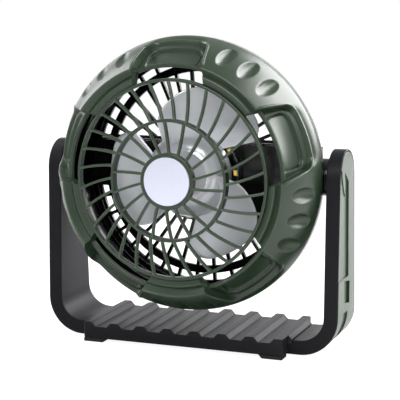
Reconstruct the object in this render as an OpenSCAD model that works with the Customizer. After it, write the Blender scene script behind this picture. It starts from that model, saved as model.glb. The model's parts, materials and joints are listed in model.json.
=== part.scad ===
// Portable camping fan: a tilting fan head with a work light, carried between
// the legs of a U-shaped stand on a ribbed base.
// Millimetres, +Z up. The fan blows towards -Y and +X is to the viewer's right.
// The origin lies on the ground under the middle of the fan's bounding box.

/* [Stand] */
// Overall width over the two legs
stand_w = 230; // [224:1:250]
// Thickness of a leg, seen from the front
leg_t = 10.4; // [9:0.2:13]
// Depth of a leg at the tilt axis, also the width of its round top
leg_depth = 41.8; // [36:0.2:46]
// How far the leg's foot reaches in front of the tilt axis
leg_front = 23.2; // [21:0.2:27]
// How far the leg's foot reaches behind the tilt axis
leg_back = 30; // [24:0.5:34]
// Outer corner radius of the U
corner_r = 28; // [20:1:34]
// Height of the tilt axis above the ground
axis_h = 129; // [127:1:150]
// Gap between the U's cross bar and the ground
bar_lift = 1; // [0.5:0.25:2]
// Thickness of the cross bar between the tread block and the legs
bar_t = 10.7; // [10:0.1:11.5]

/* [Tread block] */
// Length of the ribbed tread block along X
tread_l = 156.9; // [150:0.1:164]
// Depth of the ribbed tread block along Y
tread_d = 76.4; // [70:0.2:84]
// Height of the rib tops above the ground
rib_top = 15.2; // [14.6:0.1:18]
// Height of the ribs above the valleys between them
rib_h = 3.5; // [2:0.1:4]
// Distance from one rib to the next
rib_pitch = 21.5; // [19:0.1:23]
// Width of a rib's flat top
rib_flat = 6.4; // [4:0.1:7]
// Width of a rib's sloping flank
rib_flank = 3.2; // [2:0.1:4]
// Number of ribs
rib_count = 8; // [6:1:8]
// Height of the rubber feet below the tread block
foot_h = 2.65; // [2.2:0.05:4]

/* [Side panels] */
// Thickness of the panel let into each leg's outer face
panel_t = 2.2; // [1.8:0.1:3]
// Width of the leg's rim left around the panel
panel_rim = 1.6; // [1.2:0.1:3]

/* [Head] */
// Largest diameter of the bezel
head_d = 203; // [196:0.5:206]
// Distance of the bezel's back edge in front of the tilt axis
seam_front = 18; // [16:0.5:20]
// Wall thickness of the mouldings of the head
wall = 2.4; // [2:0.1:3]
// Number of raised pads round the bezel
pad_count = 5; // [5]
// Width of the sunk bay between two pads, across its floor
bay_w = 41; // [37:0.2:44]
// Number of grip dimples in each pad
dimple_count = 3; // [1:1:3]

/* [Front grille] */
// Outside diameter of the grille's rim
grille_d = 145; // [140:0.5:147]
// Outside diameter of the middle ring
mid_ring_d = 88; // [80:0.5:96]
// Outside diameter of the ring round the badge
hub_ring_d = 40.6; // [38:0.2:46]
// Diameter of the badge disc
badge_d = 34.6; // [30:0.2:36]
// Number of outer spokes
outer_spokes = 30; // [24:1:36]
// Number of inner spokes
inner_spokes = 18; // [16:1:24]
// Width of a spoke
spoke_w = 1.7; // [1.4:0.1:2.4]
// Depth of a spoke
spoke_depth = 3.2; // [2.4:0.1:4]

/* [Impeller] */
// Tip diameter of the impeller
impeller_d = 131; // [124:1:136]
// Number of blades
blade_count = 3; // [3:1:4]
// Thickness of a blade
blade_t = 1.8; // [1.4:0.1:2.6]
// Diameter of the hub's skirt
hub_d = 64; // [58:1:66]
// Diameter of the hub's flat nose
hub_nose_d = 38; // [30:1:44]
// Diameter of the motor's shaft
shaft_d = 3.17; // [3:0.01:4]

/* [Motor, light and cells] */
// Diameter of the motor's can
motor_d = 27.7; // [24:0.1:29]
// Length of the motor's can
motor_l = 18.2; // [16:0.2:18.4]
// Diameter of the round core behind the impeller
core_d = 72; // [71:0.5:76]
// Radius of the ring on which the light chips sit
chip_ring_r = 32; // [31:0.1:32.4]
// Number of light chips
chip_count = 12; // [6:1:14]
// Diameter of a battery cell
cell_d = 18.4; // [17:0.1:18.6]
// Length of a battery cell
cell_l = 65; // [60:0.5:66]
// Height of the cell bay that crosses the back
cell_bay_h = 35; // [30:0.5:37]

/* [Rear grille] */
// Number of rear bars
rear_bars = 36; // [24:1:40]
// Width of a rear bar
rear_bar_w = 2.6; // [2:0.1:3.2]

/* [Controls] */
// Diameter of the fan and light buttons
button_d = 11; // [9:0.5:12]
// Travel of a button
button_travel = 1; // [0.6:0.1:1.4]

/* [Hidden] */
$fn = 96;
EPS = 0.01;

// Clearances
gap = 0.3;            // between pieces of different bodies that pass each other
seat = 0.15;          // round a piece that drops into its seat
shaft_fit = 0.04;     // radial fit of the shaft in its bush
pivot_fit = 0.1;      // radial fit of the pivot bolt in the leg

// Stand, derived
leg_in = stand_w / 2 - leg_t;
leg_r = leg_depth / 2;
inner_r = corner_r - leg_t;
tread_half = tread_l / 2;
plate_half = tread_half + rib_flank;     // over the cross bar the end ribs keep their outer flank
bar_top = bar_lift + bar_t;
valley_z = rib_top - rib_h;
tread_plate = 2.6;                       // plate under the valleys
bar_low_top = valley_z - tread_plate;    // top of the cross bar under the tread
panel_x = stand_w / 2 - panel_t;
channel_depth = 1.4;
strip_depth = 0.6;
clip_seat_depth = 1.8;
channel_foot = 56;                       // height at which the panel's channel ends
corner_slot_w = 14.5;
corner_slot_turn = [-58, 60];            // start and length of the slot round the corner, in degrees
// Outlines on the side panel: [behind the tilt axis, height]
leaf_tip = [-6.4, axis_h - 12.4];
wedge_tip = [-8.5, axis_h + 5.9];
channel = [wedge_tip, [3, axis_h - 2.4], [7.4, channel_foot], [-7, channel_foot], leaf_tip];
front_strip = [leaf_tip, [-11.1, axis_h - 5.6], [-14.3, axis_h + 0.6], [-15.9, axis_h + 7.2],
    [-leg_depth, axis_h + 8], [-leg_depth, channel_foot], [-6.9, channel_foot]];
clip_seat = [[-5.6, 54.5], [10.9, 51.5], [10.9, 35], [-4.8, 38]];
foot_l = 16;
foot_front_w = 12;                       // depth of a front foot
foot_back_w = 7.4;                       // depth of a back foot, behind the cross bar
pivot_bolt_d = 6;
pivot_head_d = 11;
pivot_head_t = 3;
pivot_head_x = panel_x - 0.3 - pivot_head_t;
pivot_socket = [5, 1.6];                 // width and depth of the hexagon in the bolt's head
washer_t = 0.8;
washer_d = 20;
washer_play = 0.2;
boss_d = 27.4;
boss_face = leg_in - washer_t - washer_play;
tread_screws = [[24, 66], [-12, 18]];    // places along X and along Y

// Head, derived: [radius, distance in front of the tilt axis]
head_r = head_d / 2;
rim_top = [head_r, seam_front + 4];
rim_line = [head_r - 5, seam_front + 12.3];
ledge_out = [head_r - 5.3, seam_front + 11.2];
ledge_in = [head_r - 9.1, seam_front + 16.2];
scoop_out = [head_r - 9.7, seam_front + 14];
scoop_in = [head_r - 18.9, seam_front + 30.4];
lip_front = seam_front + 32.1;
lip_r = head_r - 21.7;
pad_crown = [head_r - 17.2, seam_front + 40.6];
pad_edge = [head_r - 18.1, seam_front + 41];
groove_foot = [head_r - 23, seam_front + 36.7];
ridge = [head_r - 24, seam_front + 37.7];
ledge_rise = 1.9;
bay_angle = 360 / pad_count;
bay_phase = 2;                           // turn of the whole pattern, seen from the front
bay_wall_half = bay_w / 2 + 2.5;         // half width of a bay at the pad's outer end
bay_wall_slope = 0.15;
bay_wall_front = seam_front + 17;
pad_bulge = 2.5;
pad_skin = 4.6;                          // thickness of a pad, which the dimples eat into
pad_hollow_angle = 30;
bezel_post_d = 7;
bezel_post_l = 14;
bezel_pilot_l = 12;
dimple_l = 30;
dimple_w = 11.4;
dimple_depth = 3;
dimple_step = 11.3;
grille_shoulder = 1.6;                   // ledge behind the grille's rim

// Front grille, derived
grille_r = grille_d / 2;
mid_r = mid_ring_d / 2;
hub_ring_r = hub_ring_d / 2;
grille_front = seam_front + 39.2;
mid_front = grille_front + 5;
hub_ring_front = grille_front + 6.4;
badge_front = grille_front + 7;
grille_rim_w = 2.3;
grille_rim_depth = 5;
mid_ring_w = 2;
mid_ring_depth = 7.4;
hub_ring_depth = 5;
badge_seat_depth = 1.6;
hub_floor_t = 1.8;
hub_lip_w = 3;
spoke_root = 0.6;                        // how far a spoke runs into its rings
rim_sink = 0.3;                          // how far the spokes' faces lie behind each ring's
mid_sink = 0.4;
hub_sink = 0.6;
outer_phase = -0.5;
outer_swirl = 8;
outer_sag = 0.95;
inner_phase = 6.8;
inner_swirl = 6.8;
inner_sag = 0.43;

// Rear shell and grille, derived
rear_lip = -12;
rear_lip_r = head_r - 9;
rear_grille_r = rear_lip_r - 2.2;
rear_grille_t = 3;
rear_seat = rear_lip + rear_grille_t;
rear_ledge_w = 3;                        // width of the shell's ledge that carries the grille
rear_band_r = 80;
rear_band_w = 6;
rear_rim_w = 5;
rear_bar_lean = 6;                       // turn of a bar from the radial direction
rear_screw_r = rear_grille_r - 2;

// Core behind the impeller, derived
core_r = core_d / 2;
core_reach = rear_grille_r - rear_ledge_w - gap - seat;
core_front = 4.5;
core_in = core_front - wall;
core_back = core_in - cell_d - 2 * gap;
bay_z = 4;
cell_x = motor_d / 2 + 2.6;
bay_half_l = cell_x + cell_l + seat + wall;
arm_half_l = head_r - 6.5;               // the core's arms end inside the shell's bosses
arm_back = -6;
arm_slot = 8;                            // length of the shell's slots for the arms
bolt_tip = arm_half_l - 7;
box_x = [35, bay_half_l];
box_z = -45;
board_t = 1.6;
board_h = 26;
board_front = -8.4;
post_d = 6;
collar_wall = 2;
rib_t = 2;                               // ribs beside the cells
motor_screw_x = 8;
bush_d = 6;
bush_flange_d = 10;
screw_d = 2.6;
screw_head_d = 5;
cover_posts = [[-bay_half_l + 5, bay_z + 12.9], [bay_half_l - 5, bay_z + 12.9], [0, -30], [0, 30]];
button_x = [47.5, 70.5];
button_z = -30;
button_proud = 1.3;                      // how far a button stands out of the cover
button_flange = 1.2;
button_stem_d = 3;
usb_x = 59;
usb_w = 8.9;
usb_h = 3.2;
usb_wall = 0.3;
switch_side = 6;
switch_h = 2.9;

// Light ring, derived
lens_in = 22.2;
lens_out = core_r;
lens_t = 1.2;
light_board_t = 1.5;
chip_l = 4.4;
chip_w = 3.2;
chip_h = 1.2;
chip_phase = 1.5;
lens_front = core_front + light_board_t + chip_h + gap + lens_t;

// Impeller, derived
impeller_r = impeller_d / 2;
hub_r = hub_d / 2;
hub_front = seam_front + 15.5;
hub_back = 15.5;
hub_skirt = 3.5;
hub_wall = 1.8;
blade_x = 15.5;                          // middle of a blade that points up
blade_mid = 17;
blade_pitch = 16;
blade_camber_r = 110;
// Corners of the outline of a blade that points up, drawn for a tip radius of blade_drawn_r
blade_drawn_r = 65.5;
blade_root = [[-14, 18], [20, 18]];
blade_lead = [[-19.3, 38], [11.4, 64.5]];
blade_trail = [[46.5, 47], [48.1, 24.5]];
blade_beyond = [30, 80];                 // outside the tip circle, which cuts the tip
blade_lead_sag = 8;
blade_trail_sag = 4.3;
blade_reach = 24;                        // how far the blades may reach in front of blade_mid
hub_post_d = 9;

// The bounding box runs from the badge to the back of the tread block, so the
// tilt axis lies this far behind its middle.
axis_y = (badge_front - tread_d / 2) / 2;

function polar(r, a) = [r * cos(a), r * sin(a)];

// Points of an arc from a to b that bulges by sag to the right of a -> b.
function arc_between(a, b, sag, n) =
    let (d = b - a, l = norm(d), r = (l * l / 4 + sag * sag) / (2 * sag),
         half = asin(l / 2 / r), out = [d[1], -d[0]] / l, c = (a + b) / 2 - out * (r - sag))
    [for (i = [0:n]) let (t = half * (2 * i / n - 1)) c + r * (out * cos(t) + d / l * sin(t))];

// Puts its children in the frame of the fan's head at rest.
module in_head() translate([0, axis_y, axis_h]) children();

// Revolves a profile of [radius, front] points about the fan's axis.
module turned(start = 0, angle = 360)
    rotate([90, 0, 0]) rotate([0, 0, start]) rotate_extrude(angle = angle) children();

// Extrudes an XZ outline between two distances in front of the tilt axis.
module facing(back, front)
    translate([0, -back, 0]) rotate([90, 0, 0]) linear_extrude(front - back) children();

// A round bar along the fan's axis between two distances in front of the tilt axis.
module rod(d, back, front, at = [0, 0])
    translate([at[0], -back, at[1]]) rotate([90, 0, 0]) cylinder(d = d, h = front - back);

// A ring about the fan's axis.
module ring(outer, width, back, front)
    turned() translate([outer - width, back]) square([width, front - back]);

// A round bar along X.
module cross_rod(d, x0, x1) translate([x0, 0, 0]) rotate([0, 90, 0]) cylinder(d = d, h = x1 - x0);

// Repeats its children for the left and the right side.
module both_sides() for (side = [0, 1]) mirror([side, 0, 0]) children();

// ---- Stand ----

// Front view of the U, with the cross bar lowered under the tread block.
module u_outline() {
    top = axis_h + leg_r + 1;
    difference() {
        union() {
            translate([-stand_w / 2, bar_lift + corner_r]) square([stand_w, top - bar_lift - corner_r]);
            translate([-stand_w / 2 + corner_r, bar_lift]) square([stand_w - 2 * corner_r, top - bar_lift]);
            for (x = [-1, 1])
                translate([x * (stand_w / 2 - corner_r), bar_lift + corner_r]) circle(r = corner_r);
        }
        translate([-leg_in, bar_top + inner_r]) square([2 * leg_in, top]);
        translate([-leg_in + inner_r, bar_top]) square([2 * (leg_in - inner_r), top]);
        for (x = [-1, 1]) translate([x * (leg_in - inner_r), bar_top + inner_r]) circle(r = inner_r);
        translate([-plate_half - gap, bar_low_top]) square([2 * (plate_half + gap), top]);
    }
}

// Side view of a leg, shrunk by inset: a round top that widens to the foot.
module leg_outline(inset = 0) {
    translate([0, axis_h]) circle(r = leg_r - inset);
    polygon([[-leg_r + inset, axis_h], [-leg_front + inset, 0],
        [leg_back - inset, 0], [leg_r - inset, axis_h]]);
}

// Extrudes a front view through the whole depth of a leg.
module through_leg()
    translate([0, leg_back + 1, 0]) rotate([90, 0, 0]) linear_extrude(leg_back + leg_front + 2) children();

// Extrudes a YZ outline along X between two distances from the middle.
module sideways(x0, x1) translate([x0, 0, 0]) rotate([90, 0, 90]) linear_extrude(x1 - x0) children();

module stand_frame() color("#37373b") translate([0, axis_y, 0]) difference() {
    intersection() {
        through_leg() u_outline();
        sideways(-stand_w / 2, stand_w / 2) leg_outline();
    }
    both_sides() {
        leg_skin(panel_t, 0);
        translate([0, 0, axis_h]) {
            cross_rod(pivot_bolt_d + 2 * pivot_fit, leg_in - 1, stand_w / 2);
            cross_rod(pivot_head_d + 1, pivot_head_x - 0.2, stand_w / 2);
        }
        tread_screw_places() cylinder(d = screw_d + 0.4, h = bar_low_top * 3, center = true);
        tread_screw_places() cylinder(d = screw_head_d + 0.6, h = bar_lift + 3);
    }
}

// Front view of the outer skin of a leg: its side and the rounded corner below it.
module skin_outline(t) {
    c = [stand_w / 2 - corner_r, bar_lift + corner_r];
    translate([stand_w / 2 - t, c[1]]) square([t, axis_h]);
    intersection() {
        translate(c) difference() {
            circle(r = corner_r);
            circle(r = corner_r - t);
        }
        translate([c[0], 0]) square([corner_r, c[1]]);
    }
}

// The outer skin of a leg inside its rim, taken off by inset on every side.
module leg_skin(t, inset) intersection() {
    through_leg() skin_outline(t);
    sideways(0, stand_w) leg_outline(panel_rim + inset);
    translate([stand_w / 2 - corner_r + 3 + inset, -leg_depth, 0])
        cube([corner_r, 2 * leg_depth, 2 * axis_h]);
}

module tread_screw_places() for (x = tread_screws[0], y = tread_screws[1]) translate([x, y, 0]) children();

// Rib profile along X: flat tops and valleys with sloping flanks between them.
function rib_points(i) =
    let (c = (i - (rib_count - 1) / 2) * rib_pitch, f = rib_flat / 2, s = rib_flank)
    [[c - f - s, valley_z], [c - f, rib_top], [c + f, rib_top], [c + f + s, valley_z]];

module tread_outline(half, foot) intersection() {
    polygon(concat([[-tread_l, foot], [-tread_l, valley_z]],
        [for (i = [0:rib_count - 1]) each rib_points(i)], [[tread_l, valley_z], [tread_l, foot]]));
    translate([-half, 0]) square([2 * half, rib_top + 1]);
}

// The tread block: skirts in front of and behind the cross bar, and a plate over it.
module base_tread() color("#4a4a4e") translate([0, axis_y, 0]) difference() {
    union() {
        translate([0, tread_d / 2, 0]) rotate([90, 0, 0]) linear_extrude(tread_d)
            tread_outline(tread_half, foot_h);
        translate([0, leg_back, 0]) rotate([90, 0, 0]) linear_extrude(leg_back + leg_front)
            tread_outline(plate_half, bar_low_top);
    }
    // channel for the U's cross bar
    translate([-plate_half - 1, -leg_front - gap, -1])
        cube([2 * plate_half + 2, leg_front + leg_back + 2 * gap, bar_low_top + 1]);
    // hollows in the front and back skirts, between their ribs
    for (i = [0:rib_count - 2], s = [0, 1]) {
        x = (i - (rib_count - 2) / 2) * rib_pitch;
        y0 = s == 0 ? -tread_d / 2 + wall : leg_back + gap + wall;
        y1 = s == 0 ? -leg_front - gap - wall : tread_d / 2 - wall;
        if (y1 - y0 > 2 && abs(x) < tread_half - foot_l - 2)
            translate([x - rib_pitch / 2 + 1, y0, 0]) cube([rib_pitch - 2, y1 - y0, bar_low_top]);
    }
    both_sides() tread_screw_places() cylinder(d = screw_d - 0.4, h = valley_z - 1);
}

module rubber_feet() color("#1c1c1e") translate([0, axis_y, 0]) both_sides() for (s = [-1, 1])
    translate([tread_half - foot_l, s > 0 ? tread_d / 2 : -tread_d / 2 + foot_front_w, 0]) rotate([90, 0, 0])
    linear_extrude(s > 0 ? foot_back_w : foot_front_w)
    polygon([[0.5, 0], [foot_l, 0], [foot_l, foot_h], [-2, foot_h]]);

module base_screws() color("silver") translate([0, axis_y, 0]) both_sides() tread_screw_places() {
    translate([0, 0, bar_lift + 1]) cylinder(d = screw_head_d, h = 2);
    translate([0, 0, bar_lift + 2]) cylinder(d = screw_d - 0.5, h = valley_z - 3 - bar_lift);
}

// The panel on a leg's outer side, which carries on round the lower corner.
module side_panel() color("#5b6b57") translate([0, axis_y, 0]) difference() {
    leg_skin(panel_t - EPS, seat);
    sideways(stand_w / 2 - channel_depth, stand_w) polygon(channel);
    sideways(stand_w / 2 - strip_depth, stand_w) polygon(front_strip);
    sideways(stand_w / 2 - clip_seat_depth, stand_w) polygon(clip_seat);
    // slot round the outside of the corner
    translate([stand_w / 2 - corner_r, 0, bar_lift + corner_r]) rotate([90, 0, 0])
        rotate([0, 0, corner_slot_turn[0]]) rotate_extrude(angle = corner_slot_turn[1])
        translate([corner_r - channel_depth, 2 - channel[2][0]]) square([channel_depth + 1, corner_slot_w]);
}

module side_panel_right() side_panel();
module side_panel_left() mirror([1, 0, 0]) side_panel();

module friction_washers() color("#d8d8d4") in_head() both_sides() difference() {
    cross_rod(washer_d, boss_face, boss_face + washer_t);
    cross_rod(pivot_bolt_d + 0.4, boss_face - 1, boss_face + 2);
}

module pivot_bolts() color("silver") in_head() both_sides() {
    cross_rod(pivot_bolt_d, bolt_tip, pivot_head_x + 0.5);
    difference() {
        cross_rod(pivot_head_d, pivot_head_x, pivot_head_x + pivot_head_t);
        translate([pivot_head_x + pivot_head_t - pivot_socket[1], 0, 0]) rotate([0, 90, 0])
            cylinder(d = pivot_socket[0], h = pivot_head_t, $fn = 6);
    }
}

// ---- Bezel ----

// Skin at the level of the bays: rim, ledge, scoop and lip.
module bay_profile() polygon(concat(
    [[head_r, seam_front]], arc_between(rim_top, rim_line, 0.9, 5), [ledge_out, ledge_in],
    arc_between(scoop_out, scoop_in, -1.1, 6),
    [[scoop_in[0], lip_front], [lip_r, lip_front], [lip_r, lip_front - wall],
     [scoop_in[0] - 0.4, scoop_in[1] - wall - 0.6], [scoop_out[0] - wall, scoop_out[1] - 1.2],
     [ledge_out[0] - 1.4, ledge_out[1] - wall - 1.2], [head_r - wall, seam_front + 1.5],
     [head_r - wall, seam_front]]));

// Step along the sides of a bay. It starts inside the rim's skin and stands a little above it.
module ledge_profile() polygon([
    ledge_in + [1.2, -2.2], ledge_in + [0.8, -0.6], [lip_r, lip_front + ledge_rise], [lip_r, lip_front - 1],
    [scoop_in[0], scoop_in[1] - 1.5], [scoop_out[0] - 1, scoop_out[1] - 0.6]]);

// Raised pad, down to the band that carries the grille.
module pad_profile() polygon(concat(
    arc_between(rim_top, pad_crown, pad_bulge, 8), [pad_edge, groove_foot, ridge,
     [grille_r + seat, grille_front], [grille_r + seat, grille_front - grille_rim_depth - 0.02],
     [grille_r - grille_shoulder, grille_front - grille_rim_depth - 0.02],
     [grille_r - grille_shoulder, grille_front - grille_rim_depth - wall],
     [ridge[0] - 1, ridge[1] - 7], [lip_r, lip_front - 2],
     [scoop_in[0], scoop_in[1] - 2], [scoop_out[0], scoop_out[1] - 2], [head_r - wall, seam_front + 1]]));

// Hollow behind a pad.
module pad_hollow_profile() polygon(concat(
    [[head_r - wall, seam_front - 1]],
    arc_between([head_r - pad_skin, seam_front + 3], [pad_crown[0] - 0.2, pad_crown[1] - pad_skin],
        pad_bulge, 6),
    [[lip_r + 2.6, groove_foot[1] - 1.2], [lip_r + 2.6, scoop_out[1]], [head_r - 14, seam_front - 1]]));

// Places its children upright in each bay.
module in_bays() for (i = [0:pad_count - 1]) rotate([0, -i * bay_angle - bay_phase, 0]) children();

// Half the width of a bay's outer walls at a distance in front of the tilt axis.
function wall_half(front) = bay_wall_half + bay_wall_slope * (front - bay_wall_front);

module bay_cutter() linear_extrude(head_r + 5) {
    f0 = seam_front - 2;
    f1 = pad_edge[1] + 5;
    polygon([[-wall_half(f0), -f0], [wall_half(f0), -f0], [wall_half(f1), -f1], [-wall_half(f1), -f1]]);
}

// Spindle that leaves a grip dimple where it dips into a pad; its radius at a distance z
// from its middle is that of an arc.
dimple_girth = (dimple_w * dimple_w / 4 + dimple_depth * dimple_depth) / (2 * dimple_depth);
dimple_arc_r = (dimple_l * dimple_l / 4 + dimple_depth * dimple_depth) / (2 * dimple_depth);
module dimple() {
    half = sqrt(2 * dimple_girth * dimple_arc_r - dimple_girth * dimple_girth);
    rotate_extrude() intersection() {
        translate([dimple_girth - dimple_arc_r, 0]) circle(r = dimple_arc_r);
        translate([0, -half]) square([dimple_girth + 1, 2 * half]);
    }
}

module dimples() {
    mid = (rim_top + pad_crown) / 2;
    lean = atan((rim_top[0] - pad_crown[0]) / (pad_crown[1] - rim_top[1]));
    lift = pad_bulge + dimple_girth - dimple_depth;
    for (i = [0:pad_count - 1], j = [0:dimple_count - 1])
        rotate([0, -(i + 0.5) * bay_angle - bay_phase - (j - (dimple_count - 1) / 2) * dimple_step, 0])
        translate([0, -mid[1], mid[0]]) rotate([90 + lean, 0, 0]) translate([0, lift, 0]) dimple();
}

module pad_screw_places() for (i = [0:pad_count - 1])
    rotate([0, -(i + 0.5) * bay_angle - bay_phase, 0]) translate([0, 0, head_r - 8.5]) children();

// The bezel's outer form: the skin of the bays, their side steps and the pads.
module bezel_body() {
    turned() bay_profile();
    difference() {
        turned() ledge_profile();
        in_bays() translate([-bay_w / 2, -lip_front - 10, 0]) cube([bay_w, 60, head_r]);
    }
    difference() {
        turned() pad_profile();
        in_bays() bay_cutter();
    }
}

module front_bezel() color("#46543f") in_head() difference() {
    union() {
        difference() {
            bezel_body();
            for (i = [0:pad_count - 1])
                turned(90 + bay_phase + (i + 0.5) * bay_angle - pad_hollow_angle / 2, pad_hollow_angle)
                pad_hollow_profile();
        }
        pad_screw_places() rod(bezel_post_d, seam_front, seam_front + bezel_post_l);
    }
    dimples();
    pad_screw_places() rod(screw_d - 0.2, seam_front - 1, seam_front + bezel_pilot_l);
}

module bezel_screws() color("silver") in_head() pad_screw_places() {
    rod(screw_d - 0.3, seam_front - wall - 1, seam_front + bezel_pilot_l - 3);
    rod(screw_head_d, seam_front - wall - 2.1, seam_front - wall - 0.05);
}

// ---- Front grille ----

// One spoke from radius r0 out to r1, which turns by swirl on its way, bows by sag and
// leans back with the dome.
module spoke(r0, r1, front0, front1, swirl, sag) {
    run = polar(r1, swirl) - [r0, 0];
    len = norm([run[0], run[1], front0 - front1]);
    bend = (len * len / 4 + sag * sag) / (2 * sag);
    turn = 2 * asin(len / 2 / bend);
    translate([r0, -front0, 0]) rotate([0, -atan2(run[1], run[0]), 0])
        rotate([0, 0, asin((front0 - front1) / len)])
        rotate([90, 0, 0]) translate([len / 2, bend - sag, 0]) rotate([0, 0, 270 - turn / 2])
        rotate_extrude(angle = turn)
        translate([bend - spoke_w / 2, -spoke_depth]) square([spoke_w, spoke_depth]);
}

module front_grille() color("#46543f") in_head() {
    ring(grille_r, grille_rim_w, grille_front - grille_rim_depth, grille_front);
    ring(mid_r, mid_ring_w, mid_front - mid_ring_depth, mid_front);
    difference() {
        rod(hub_ring_d, hub_ring_front - hub_ring_depth, hub_ring_front);
        rod(badge_d + 2 * seat, hub_ring_front - badge_seat_depth, hub_ring_front + 1);
        rod(badge_d - 2 * hub_lip_w, hub_ring_front - hub_ring_depth - 1,
            hub_ring_front - badge_seat_depth - hub_floor_t);
    }
    for (i = [0:outer_spokes - 1]) rotate([0, -i * 360 / outer_spokes - outer_phase, 0])
        spoke(mid_r - spoke_root, grille_r - grille_rim_w + spoke_root,
            mid_front - mid_sink, grille_front - rim_sink, outer_swirl, outer_sag);
    for (i = [0:inner_spokes - 1]) rotate([0, -i * 360 / inner_spokes - inner_phase, 0])
        spoke(hub_ring_r - spoke_root, mid_r - mid_ring_w + spoke_root,
            hub_ring_front - hub_sink, mid_front - mid_sink, inner_swirl, inner_sag);
}

module badge_disc() color("#e6e8f2") in_head() rod(badge_d, hub_ring_front - badge_seat_depth, badge_front);

// ---- Rear shell and grille ----

module rear_shell() color("#1b1c1d") in_head() difference() {
    union() {
        turned() polygon(concat(
            [[head_r - 0.3, seam_front]],
            arc_between([head_r - 0.3, seam_front - 5], [rear_lip_r + 2, rear_lip + 1.5], 0.5, 4),
            [[rear_lip_r, rear_lip], [rear_grille_r + seat, rear_lip], [rear_grille_r + seat, rear_seat],
             [rear_grille_r - rear_ledge_w, rear_seat], [rear_grille_r - rear_ledge_w, rear_seat + wall]],
            arc_between([rear_lip_r - 0.4, rear_seat + wall], [head_r - 0.3 - wall, seam_front - 6], -0.5, 4),
            [[head_r - 0.3 - wall, seam_front - wall], [head_r - 13, seam_front - wall],
             [head_r - 13, seam_front]]));
        both_sides() cross_rod(boss_d, arm_half_l + seat, boss_face);
    }
    both_sides() cross_rod(pivot_bolt_d + 0.1, arm_half_l - 3, boss_face + 1);
    pad_screw_places() rod(screw_d + 0.4, seam_front - wall - 1, seam_front + 1);
    // clear of the core's arms
    both_sides() translate([arm_half_l - arm_slot, -core_front - seat, bay_z - cell_bay_h / 2 - seat])
        cube([arm_slot + seat, core_front - arm_back + 2 * seat, cell_bay_h + 2 * seat]);
}

// Front view of the core: the round pod, the cell bay across it and the control box,
// whose corner follows the round of the head.
module core_outline(inset = 0) intersection() {
    union() {
        circle(r = core_r - inset);
        translate([-bay_half_l + inset, bay_z - cell_bay_h / 2 + inset])
            square([2 * (bay_half_l - inset), cell_bay_h - 2 * inset]);
        translate([box_x[0] + inset, box_z + inset])
            square([box_x[1] - box_x[0] - 2 * inset, bay_z - box_z - inset]);
    }
    circle(r = core_reach - inset);
}

module annulus(outer, width) difference() {
    circle(r = outer);
    circle(r = outer - width);
}

// Front view of the rear grille: two bands and a frame round the core, joined by the bars.
module rear_grille_outline() difference() {
    union() {
        annulus(rear_grille_r, rear_rim_w);
        annulus(rear_band_r, rear_band_w);
        core_outline(-seat - wall);
        for (i = [0:rear_bars - 1]) rotate(i * 360 / rear_bars) translate([core_r + 1, 0])
            rotate(-rear_bar_lean) translate([0, -rear_bar_w / 2])
            square([rear_grille_r - core_r - 3, rear_bar_w]);
    }
    core_outline(-seat);
    for (a = [45:90:315]) translate(polar(rear_screw_r, a)) circle(d = screw_d + 0.4);
}

module rear_grille() color("#17181a") in_head() facing(rear_lip, rear_seat) rear_grille_outline();

module grille_screw_places() for (a = [45:90:315])
    rotate([0, -a, 0]) translate([rear_screw_r, 0, 0]) children();

module rear_grille_screws() color("silver") in_head() grille_screw_places() {
    rod(screw_head_d - 0.6, rear_lip - 1.6, rear_lip - 0.05);
    rod(screw_d - 0.2, rear_lip - 1, rear_seat - 0.05);
}

// ---- Core ----

module cover_screw_places() for (p = cover_posts) translate([p[0], 0, p[1]]) children();

module core_housing() color("#1d1e20") in_head() difference() {
    union() {
        difference() {
            facing(core_back, core_front) core_outline();
            facing(core_back - 1, core_in) core_outline(wall);
        }
        both_sides() translate([bay_half_l - wall, -core_front, bay_z - cell_bay_h / 2])
            cube([arm_half_l - bay_half_l + wall, core_front - arm_back, cell_bay_h]);
        // collar round the motor and ribs beside the cells
        rod(motor_d + 2 * seat + 2 * collar_wall, core_back + 2, core_in + EPS);
        both_sides() for (s = [-1, 1])
            translate([cell_x + 4, -core_in, bay_z + s * (cell_d / 2 + gap) - (s > 0 ? 0 : rib_t)])
            cube([cell_l - 8, core_in - core_back - 1, rib_t]);
        cover_screw_places() rod(post_d, core_back, core_in + EPS);
        board_posts() rod(post_d - 1, board_front, core_in + EPS);
    }
    rod(motor_d + 2 * seat, core_back - 1, core_in);
    rod(bush_flange_d + 2 * gap, core_in - 1, core_front + 1);
    cover_screw_places() rod(screw_d - 0.4, core_back - 1, core_back + 9);
    motor_screw_places() rod(screw_d + 0.2, core_in - 1, core_front + 1);
    both_sides() cross_rod(pivot_bolt_d + 0.1, bolt_tip - 0.5, arm_half_l + 1);
}

module board_posts() for (x = [box_x[0] + 5.5, box_x[1] - 12.5]) translate([x, 0, box_z + 6]) children();

module motor_screw_places() for (s = [-1, 1]) translate([s * motor_screw_x, 0, 0]) children();

module core_cover() color("#202123") in_head() difference() {
    facing(core_back - wall, core_back) core_outline();
    for (x = button_x) rod(button_d + 2 * gap, core_back - wall - 1, core_back + 1, [x, button_z]);
    translate([usb_x, 0, button_z]) facing(core_back - wall - 1, core_back + 1)
        square([usb_w + 2 * gap + 0.1, usb_h + 2 * gap], center = true);
    cover_screw_places() {
        rod(screw_d + 0.4, core_back - wall - 1, core_back + 1);
        rod(screw_head_d + 0.4, core_back - wall - 1, core_back - wall + 1.5);
    }
}

module core_cover_screws() color("silver") in_head() cover_screw_places() {
    rod(screw_d - 0.5, core_back - 1.2, core_back + 7);
    rod(screw_head_d, core_back - wall, core_back - wall + 1.45);
}

module motor_can() color("#c9ccd0") in_head() difference() {
    rod(motor_d, core_in - motor_l, core_in - EPS);
    rod(bush_d + 0.1, core_in - motor_l + 2, core_in + 1);
    motor_screw_places() rod(screw_d - 0.3, core_in - 3, core_in + 1);
}

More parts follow.
